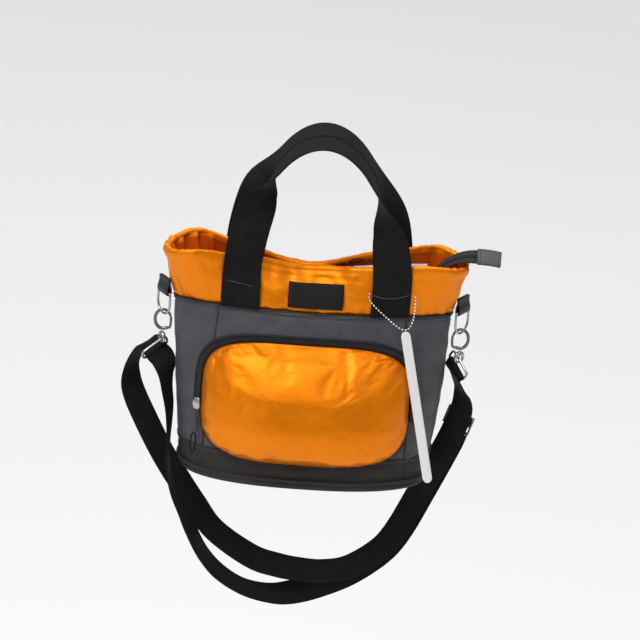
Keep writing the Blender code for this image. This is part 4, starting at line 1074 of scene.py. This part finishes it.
def handle_line(side):
    """The whole handle from one sewn foot over the grip to the other."""
    low = COLLAR_HALF + ON_COLLAR + HANDLE_THICK / 2
    stations = [(s, low + 0.8 * MM * ease((s - STITCH_SHARE) / 0.4))
                for s in spread(0.02, 0.92, 16)]
    left = [flat_row(-1, s, out, side) for s, out in stations]
    right = [flat_row(1, s, out, side) for s, out in reversed(stations)]
    left = [(p, -w) for p, w in left]
    angles = [radians(a) for a in spread(12, 168, 79)]
    arch = [arch_row(a, side) for a in angles]
    line = left + arch + right
    route = [line[0][0]]
    ways = [line[0][1]]
    for point, wide in line[1:]:
        route.append(point)
        ways.append(wide if wide.dot(ways[-1]) > 0 else -wide)
    for _ in range(3):
        for i in range(12, len(route) - 12):
            if abs(i - 16) < 6 or abs(len(route) - 16 - i) < 6:
                route[i] = route[i] * 0.5 + (route[i - 1] + route[i + 1]) * 0.25
    return route, ways


def add_handles():
    for label, side in FACES:
        route, ways = handle_line(side)
        rows = ribbon_rows(route, ways, HANDLE_WIDTH, HANDLE_THICK * 1.1)
        strap = solid(f"handle_{label}_webbing", rows, WEBBING, None)
        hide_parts(f"handle_{label}", f"handle_{label}_end_left",
                    f"handle_{label}_end_right")
        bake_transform(strap)
        for end_label, end in SIDES:
            out = COLLAR_HALF + ON_COLLAR + HANDLE_THICK + 0.1 * MM
            sag = [STITCH_SHARE - 0.02 - (0.09 * (1 - k * k) if end > 0 else 0.05 * k)
                   for k in spread(-1, 1, 13)]
            line = [collar_at(strand_x(end) + k * HANDLE_WIDTH * 0.485, s, out + 0.25 * MM, side)
                    for k, s in zip(spread(-1, 1, 13), sag)]
            stitches(f"handle_{label}_stitches_{end_label}", line,
                     [Vector((0, side, 0.2))] * 13, THREAD_GREY, "bag",
                     step=3 * MM)


add_body()
add_band()
add_lining()
add_collar()
add_patch()
add_handles()


# ---------------------------------------------------------------- main zip

def zip_edges(turn, side):
    """Where the zip's cloth leaves the collar, and its free edge: shut on the right, open left."""
    rim_x = (RIM_HALF_WIDTH - COLLAR_HALF) * sin(turn)
    share = (ZIP_HEIGHT - SEAM_HEIGHT) / (through(RIM_HEIGHT, rim_x) - SEAM_HEIGHT)
    wall = collar_point(turn, share, -COLLAR_HALF + 0.5 * MM)
    low = collar_point(turn, share * (1 - ZIP_DROP / (ZIP_HEIGHT - SEAM_HEIGHT)), -COLLAR_HALF)
    shut = Vector((wall.x, -3.1 * MM, ZIP_HEIGHT))
    hung = Vector((wall.x, max(low.y, wall.y) + 4.5 * MM, ZIP_HEIGHT - ZIP_DROP))
    slack = ease((ZIP_SLIDER_X - wall.x) / (ZIP_SLIDER_X - ZIP_OPEN_X))
    free = shut.lerp(hung, slack)
    mirror = Vector((1, -side, 1))
    return wall * mirror, free * mirror


def add_main_zip():
    for label, side in FACES:
        rows, edge, ups = [], [], []
        for turn in spread(-ZIP_SPAN, ZIP_SPAN, 120):
            wall, free = zip_edges(turn, side)
            inwards = (free - wall).normalized()
            up = Vector((0, -inwards.z, inwards.y))
            up = up if up.z > 0 else -up
            wave = 0.5 * MM * drift(turn * 6, side, 0)
            row = [wall.lerp(free, k) + up * (wave * sin(pi * k) + 0.4 * MM)
                   for k in spread(0, 1, 9)]
            row += [wall.lerp(free, k) - up * 0.4 * MM for k in spread(1, 0, 9)]
            rows.append(row)
            edge.append(free + inwards * 1.5 * MM)
            ups.append(up)
        tape = solid(f"zip_tape_{label}", rows, TAPE, "bag")
        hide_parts(f"zip_cloth_{label}")
        frames = [frame_at(p, along, up) for p, along, up in evenly(edge, [ups], 1.75 * MM)]
        teeth = scatter(f"zip_coil_{label}", TOOTH, frames, COIL, "bag")
        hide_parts(f"zip_teeth_{label}")
    bevelled("main_zip_slider", "main_zip_slider", GUNMETAL, 0.5 * MM)
    bevelled("main_zip_pull", "main_zip_pull", GUNMETAL, 0.3 * MM)
    low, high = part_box("main_zip_pull")
    tip = Vector(((low.x + high.x) / 2 - 1.5 * MM, 0, high.z - 1.2 * MM)) - LOWER
    loop = [tip + p for p in from_mm([(0, -1.2, 0), (3, -2.6, 1.8), (7, -3.4, 3.0), (11, -2.8, 3.6),
                                      (14, -0.5, 3.8), (14.3, 2.2, 3.8), (11, 3.4, 3.6),
                                      (7, 3.2, 3.0), (3, 2.4, 1.8), (0, 1.2, 0)])]
    ring = smooth_route(loop + [loop[0]], 5)[:-1]
    surface("main_pull_cord", tube_rows(ring, 0.6 * MM, True, 8), WEBBING, "main_zip_pull",
            wrap=True, ring=True)


def tail_width_way(x):
    """Direction of the tail's width: it rolls towards the front past the rim."""
    roll = radians(9) * ease((x - 128 * MM) / (34 * MM))
    return Vector((0, cos(roll), sin(roll)))


def add_zip_tail():
    points = [(119, 0, 196.5), (118, 0, 206), (120, 0, 217), (127, 0, 227), (138, 0, 234),
              (149, 0, 237.4), (160, 0, 238.3)]
    route = smooth_route(from_mm(points), 8)
    across = [tail_width_way(p.x) for p in route]
    tail = solid("zip_tail_tape", ribbon_rows(route, across, 26 * MM, 1.6 * MM), TAPE, "bag")
    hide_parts("zip_tail")
    frames = []
    for p, along, wide in evenly(route, [across], 1.75 * MM):
        lift = along.cross(wide).normalized()
        lift = lift if lift.z > 0 else -lift
        for k in (-1, 1):
            shift = lift * 1.3 * MM + wide * (k * 1.7 * MM) + along * (k * 0.45 * MM)
            frames.append(frame_at(p + shift, along, lift))
    scatter("zip_tail_coil", TOOTH, frames, COIL, "bag")
    bend = smooth_route(from_mm([(159.8, 0, 238.3), (166, 0, 238.4), (172, 0, 238), (178, 0, 237.4),
                                 (183.5, 0, 236.4)]), 4)
    wide = [tail_width_way(p.x) for p in bend]
    tab = solid("zip_tab_nylon", ribbon_rows(bend, wide, 29 * MM, 3.6 * MM, SLAB_SECTION), GREY,
                  "bag")
    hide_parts("zip_end_tab")
    ways = tangents(bend)
    lifts = [t.cross(w).normalized() for t, w in zip(ways, wide)]
    lifts = [up if up.z > 0 else -up for up in lifts]
    for name, k in (("a", -12.2 * MM), ("b", 12.2 * MM)):
        line = [p + w * k + up * 1.85 * MM for p, w, up in zip(bend, wide, lifts)]
        stitches(f"tab_stitches_{name}", line, lifts, THREAD_BLACK, "bag",
                 step=3 * MM)
    for name, index in (("c", 2), ("d", -3)):
        line = [bend[index] + wide[index] * (k * MM) + lifts[index] * 1.9 * MM
                for k in spread(-12, 12, 7)]
        stitches(f"tab_stitches_{name}", line, [lifts[index]] * 7, THREAD_BLACK, "bag",
                 step=3 * MM)


# ---------------------------------------------------------------- front pocket

# Long folds in the stuffed satin, in millimetres: ends of each fold, its width and its height.
POCKET_FOLDS = [
    ((-96, 132), (-58, 96), 7, -2.6), ((-99, 116), (-84, 66), 8, -1.6),
    ((-84, 138), (-62, 118), 4, 1.3), ((36, 146), (27, 100), 5, -2.2),
    ((46, 145), (50, 112), 6, 1.5), ((-22, 146), (-38, 116), 6, -1.5),
    ((4, 146), (0, 124), 5, -1.2), ((92, 136), (56, 102), 7, -2.2),
    ((72, 142), (60, 120), 4, -1.4), ((99, 64), (66, 46), 7, -1.8),
    ((-99, 62), (-58, 44), 6, -1.8), ((-62, 28), (-46, 60), 5, -1.6),
    ((-80, 32), (-66, 56), 4, -1.5), ((-34, 27), (-28, 48), 4, -1.2),
    ((58, 28), (46, 54), 6, -1.4), ((12, 27), (10, 50), 5, -1.0),
    ((-99, 90), (-64, 86), 8, 1.3), ((98, 96), (70, 88), 8, 1.0)]


def pocket_folds(x, z):
    """Height of the long folds at a point of the pocket, deepest where they meet its edge."""
    total = 0.0
    for start, end, width, height in POCKET_FOLDS:
        a, b = Vector(start) * MM, Vector(end) * MM
        run = b - a
        share = min(max((Vector((x, z)) - a).dot(run) / run.length_squared, 0), 1)
        away = (Vector((x, z)) - (a + run * share)).length
        total += height * MM * bump(away, 0, width * MM * (0.8 + 0.9 * share)) * (1 - share) ** 0.6
    return total


def pocket_surface_point(angle, share):
    """Point of the puffed satin: a boxy pillow with a sloping top, creased towards its edge."""
    x, z = pocket_edge(angle, 0.4 * MM)
    x, z = POCKET_X + (x - POCKET_X) * share, POCKET_Z + (z - POCKET_Z) * share
    level = (z - POCKET_Z) / POCKET_HALF_HEIGHT
    aside = (x - POCKET_X) / POCKET_HALF_WIDTH
    upper = max(level - 0.12, 0) / 0.88
    lower = max(-0.22 - level, 0) / 0.78
    slopes = (1 - 0.82 * upper ** 1.25) * (1 - 0.62 * lower ** 1.4) * (1 - 0.42 * abs(aside) ** 3.4)
    rise = POCKET_BULGE * sqrt(1 - share ** 9) * slopes
    rise += 1.6 * MM * ease((1 - share) / 0.03)
    inner = ease((1 - share) / 0.06)
    rise += pocket_folds(x, z) * inner
    pucker = drift(cos(angle) * 13, sin(angle) * 8, share * 2)
    low_left = bump(x, -85 * MM, 60 * MM) * bump(z, 40 * MM, 32 * MM)
    rise += (1.0 + 1.6 * low_left) * MM * pucker * exp(-(1 - share) / 0.07)
    rise += 0.9 * MM * drift(x * 14 + z * 8, z * 20 - x * 5, 1.7) * inner
    rise += 0.15 * MM * drift(x * 48 + z * 31, z * 55, 7.1) * inner
    return front_point(x, z, 0.9 * MM) - Vector((0, rise, 0))


def settle(piece, pinned, pressure, slack, frames, cap):
    """Blows a cloth piece up from its present shape and keeps the result, within a cap."""
    mesh = piece.data
    before = [v.co.copy() for v in mesh.vertices]
    group = piece.vertex_groups.new(name="sewn")
    group.add(pinned, 1.0, "REPLACE")
    cloth_air = piece.modifiers.new("blow", "CLOTH")
    setup = cloth_air.settings
    setup.quality = 6
    setup.mass = 0.12
    setup.tension_stiffness = 14
    setup.compression_stiffness = 14
    setup.shear_stiffness = 6
    setup.bending_stiffness = 0.15
    setup.use_pressure = True
    setup.uniform_pressure_force = pressure
    setup.shrink_min = -slack
    setup.vertex_group_mass = "sewn"
    setup.effector_weights.gravity = 0
    cloth_air.collision_settings.use_collision = False
    cloth_air.point_cache.frame_start = 1
    cloth_air.point_cache.frame_end = frames
    scene = bpy.context.scene
    for number in range(1, frames + 1):
        scene.frame_set(number)
    graph = bpy.context.evaluated_depsgraph_get()
    blown = [v.co.copy() for v in piece.evaluated_get(graph).data.vertices]
    piece.modifiers.remove(cloth_air)
    piece.vertex_groups.remove(group)
    for vertex, old, new in zip(mesh.vertices, before, blown):
        move = new - old
        if move.length > cap:
            move = move.normalized() * cap
        vertex.co = old + move
    scene.frame_set(1)


def add_pocket():
    count, rings = 200, 46
    shares = [1.0 - (k / rings) ** 1.4 * 0.97 for k in range(rings)] + [0.03]
    rows = []
    for share in shares:
        rows.append([pocket_surface_point(2 * pi * (i + 0.5) / count, share) for i in range(count)])
    tuck = [front_point(*pocket_edge(2 * pi * (i + 0.5) / count, 1.2 * MM), 0.5 * MM)
            for i in range(count)]
    pillow = solid("pocket_satin", [tuck] + rows, SATIN, None)
    settle(pillow, list(range(2 * count)), 1.2, 0.004, 10, 4 * MM)
    rounding = pillow.modifiers.new("round", "SUBSURF")
    rounding.levels = rounding.render_levels = 1
    flat = pillow.data.uv_layers["cloth"].data
    for loop in pillow.data.loops:
        place = pillow.data.vertices[loop.vertex_index].co
        flat[loop.index].uv = (place.x, place.z)
    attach(pillow, "bag")
    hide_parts("pocket_panel")


def pocket_line(grow, out, first=POCKET_ZIP_SPAN[0], last=POCKET_ZIP_SPAN[1]):
    turns = [radians(a) for a in spread(first, last, 240)]
    return [front_point(*pocket_edge(a, grow), out) for a in turns]


def wall_normal(point):
    near = front_point(point.x - MM, point.z, 0)
    far = front_point(point.x + MM, point.z, 0)
    high = front_point(point.x, point.z + MM, 0)
    low = front_point(point.x, point.z - MM, 0)
    return (far - near).cross(high - low).normalized()


def add_pocket_zip():
    rows = []
    for angle in spread(radians(POCKET_ZIP_SPAN[0]), radians(POCKET_ZIP_SPAN[1]), 240):
        wave = 0.25 * MM * drift(cos(angle) * 12, sin(angle) * 9, 0)
        row = []
        for grow, out in ((0.5, 0.3), (0.5, 1.0), (0.8, 1.5), (1.5, 1.5), (2.1, 1.1), (5.9, 1.1),
                          (6.5, 1.6), (7.3, 1.9), (8.0, 1.5), (8.4, 0.7), (8.4, 0.3)):
            row.append(front_point(*pocket_edge(angle, grow * MM), out * MM + wave))
        rows.append(row)
    tape = solid("pocket_tape", rows, TAPE, "bag")
    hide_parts("pocket_zip_tape")
    frames = []
    for grow, phase in ((3.1, 0), (4.9, 1)):
        line = pocket_line(grow * MM, 2.0 * MM)
        spots = evenly(line, [], 1.6 * MM)
        frames += [frame_at(p + along * (phase * 0.8 * MM), along, wall_normal(p))
                   for p, along in spots]
    coil = scatter("pocket_coil", TOOTH, frames, COIL, "bag")
    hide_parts("pocket_zip_teeth")
    for name, grow in (("outer", 7.6), ("inner", 1.1)):
        line = pocket_line(grow * MM, 1.95 * MM if name == "outer" else 1.6 * MM)
        stitches(f"pocket_stitches_{name}", line, [wall_normal(p) for p in line], THREAD_BLACK,
                 "bag", step=3 * MM)
    line = pocket_line(1.0 * MM, 0.9 * MM, 186, 354)
    solid("pocket_piping", tube_rows(line, 0.9 * MM), TWILL, "bag")
    bevelled("pocket_zip_slider", "pocket_zip_slider", NICKEL, 0.5 * MM)
    bevelled("pocket_zip_pull", "pocket_zip_pull", GUNMETAL, 0.3 * MM)
    polished("pocket_pull_cord", "pocket_zip_pull", WEBBING, 0.06 * MM)


# ---------------------------------------------------------------- tabs, rings and tags

def side_way(end):
    """Directions out of a tab's face and along its ring's bar."""
    out = Vector((end * cos(SIDE_TURN), -sin(SIDE_TURN), 0))
    return out, out.cross(Vector((0, 0, 1)))


def add_side_tabs():
    for label, end in SIDES:
        thick = TAB_THICK
        out, bar = side_way(end)
        hook = Vector((end * HOOK_X, 0, 0))
        reach, close = RING_WIRE + GAP + thick / 2, thick / 2 + GAP / 2
        legs = [(-close, TAB_TOP), (-close, 192 * MM), (-close, 189 * MM), (-reach, 183.5 * MM)]
        under = []
        for i in range(9):
            angle = pi + pi * i / 8
            under.append((reach * cos(angle), 180 * MM + reach * sin(angle)))
        mirrored = [(-far, z) for far, z in reversed(legs)]
        route = smooth_route([hook + out * far + Vector((0, 0, z))
                              for far, z in legs + under + mirrored], 3)
        rows = ribbon_rows(route, [bar] * len(route), 19 * MM, thick * 1.08, SLAB_SECTION)
        tab = solid(f"tab_leather_{label}", rows, LEATHER, "bag")
        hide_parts(f"tab_{label}")
        for name, side in (("out", 1), ("in", -1)):
            face = hook + out * (side * (close + thick / 2 + 0.1 * MM))
            line = [face + bar * (k * MM) + Vector((0, 0, 190.5 * MM))
                    for k in spread(-7.5, 7.5, 7)]
            stitches(f"tab_stitches_{label}_{name}", line, [out * side] * 7, THREAD_BLACK, "bag",
                     step=2.8 * MM)
        polished(f"d_ring_{label}", f"d_ring_{label}", NICKEL, 0.0)


def add_tags():
    along = (TAG_BOTTOM - TAG_TOP).normalized()
    across = Vector((1, 0, 0))
    across = (across - along * across.dot(along)).normalized()
    up = along.cross(across)
    length = (TAG_BOTTOM - TAG_TOP).length
    rows = []
    for share, half in [(0, 0.3), (0.004, 0.55), (0.012, 0.8), (0.03, 1)] + [
            (k, 1) for k in spread(0.06, 0.94, 30)] + [(0.97, 1), (0.988, 0.8), (0.996, 0.55),
                                                       (1, 0.3)]:
        middle = TAG_TOP + along * (share * length)
        dip = 0.35 * MM * sin(share * 9)
        wide = TAG_WIDTH / 2 * half
        row = []
        for a, b in ((-1, 0.3), (-0.97, 0.5), (-0.5, 0.62), (0, 0.68), (0.5, 0.62), (0.97, 0.5),
                     (1, 0.3), (1, -0.3), (0.97, -0.5), (0, -0.5), (-0.97, -0.5), (-1, -0.3)):
            row.append(middle + across * (a * wide) + up * (b * 0.9 * MM + dip))
        rows.append(row)
    tag = solid("tag_card", rows, CARD, "swing_tag")
    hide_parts("swing_tag")
    tops = [(38, 217), (60, 219.5), (90, 223), (111, 224.5)]
    for number, (gap, drop) in enumerate(((0, 0), (-0.45, 1.6), (0.45, 0.9))):
        rows = []
        for k in spread(0, 1, 30):
            x = blend(38, 111, k) - (2.5 * number if number else 0)
            top = through(tops, x * MM) / MM - drop
            sway = 0.35 * sin(x / 9 + number)
            low = Vector((x, 6.4 + gap, 198)) * MM
            high = Vector((x, 7.6 + gap + sway, top)) * MM
            thin = Vector((0, 0.16 * MM, 0))
            row = [low.lerp(high, share) - thin for share in spread(0, 1, 6)]
            rows.append(row + [low.lerp(high, share) + thin for share in spread(1, 0, 6)])
        # The middle leaf takes the greyer paper, as painted shade between the white leaves.
        piece = solid(f"inner_tag_leaf_{number}", rows, PAPER_PAINTED_SHADE if number == 1 else CARD, "bag")
        if number == 0:
            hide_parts("inner_tag")


add_main_zip()
add_zip_tail()
add_pocket()
add_pocket_zip()
add_side_tabs()
add_tags()


# ---------------------------------------------------------------- floor, light and air

def add_floor():
    size, level = 15, -1.05
    mesh = bpy.data.meshes.new("floor")
    mesh.from_pydata([(-size, -size, level), (size, -size, level), (size, size, level),
                      (-size, size, level)], [], [(0, 1, 2, 3)])
    made, shade, node, place = set_up("floor_paint", (0.93, 0.93, 0.94), 0.9)
    cloud = clouds(node, place, 0.8, 2.0)
    shade({"Base Color": two_tone(node, cloud, (0.92, 0.92, 0.93), (0.95, 0.95, 0.955))})
    mesh.materials.append(made)
    add_object("floor", mesh)


def add_light(name, place, target, size, power, colour=(1, 1, 1)):
    data = bpy.data.lights.new(name, "AREA")
    data.shape = "RECTANGLE"
    data.size, data.size_y = size
    data.energy = power
    data.color = colour
    lamp = add_object(name, data)
    lamp.location = place
    aim = Vector(target) - Vector(place)
    lamp.rotation_euler = aim.to_track_quat("-Z", "Y").to_euler()


def add_air():
    world = bpy.data.worlds.new("studio")
    bpy.context.scene.world = world
    world.use_nodes = True
    tree = world.node_tree
    node = node_maker(tree)
    place = node("ShaderNodeTexCoord")
    split = node("ShaderNodeSeparateXYZ", {0: place.outputs["Generated"]})
    height = node("ShaderNodeMapRange", {"Value": split.outputs["Z"], "From Min": -1})
    ramp = node("ShaderNodeValToRGB", {0: height.outputs[0]})
    low, high = ramp.color_ramp.elements
    low.position, low.color = 0.5, (0.24, 0.24, 0.245, 1)
    high.position, high.color = 0.86, (1.0, 1.0, 1.0, 1)
    feed(tree, tree.nodes["Background"], {"Color": ramp.outputs[0], "Strength": 0.62})


add_floor()
add_air()
add_light("key", (-0.75, -0.95, 1.3), (-0.05, 0, -0.25), (1.2, 0.5), 14)
add_light("fill", (-1.6, -1.6, 0.0), (0, 0, -0.3), (1.0, 1.0), 2.5)
add_light("wide", (0, 0.6, 3.2), (0, 0.6, -1), (5, 5), 104)
bpy.context.scene.view_settings.view_transform = "Standard"
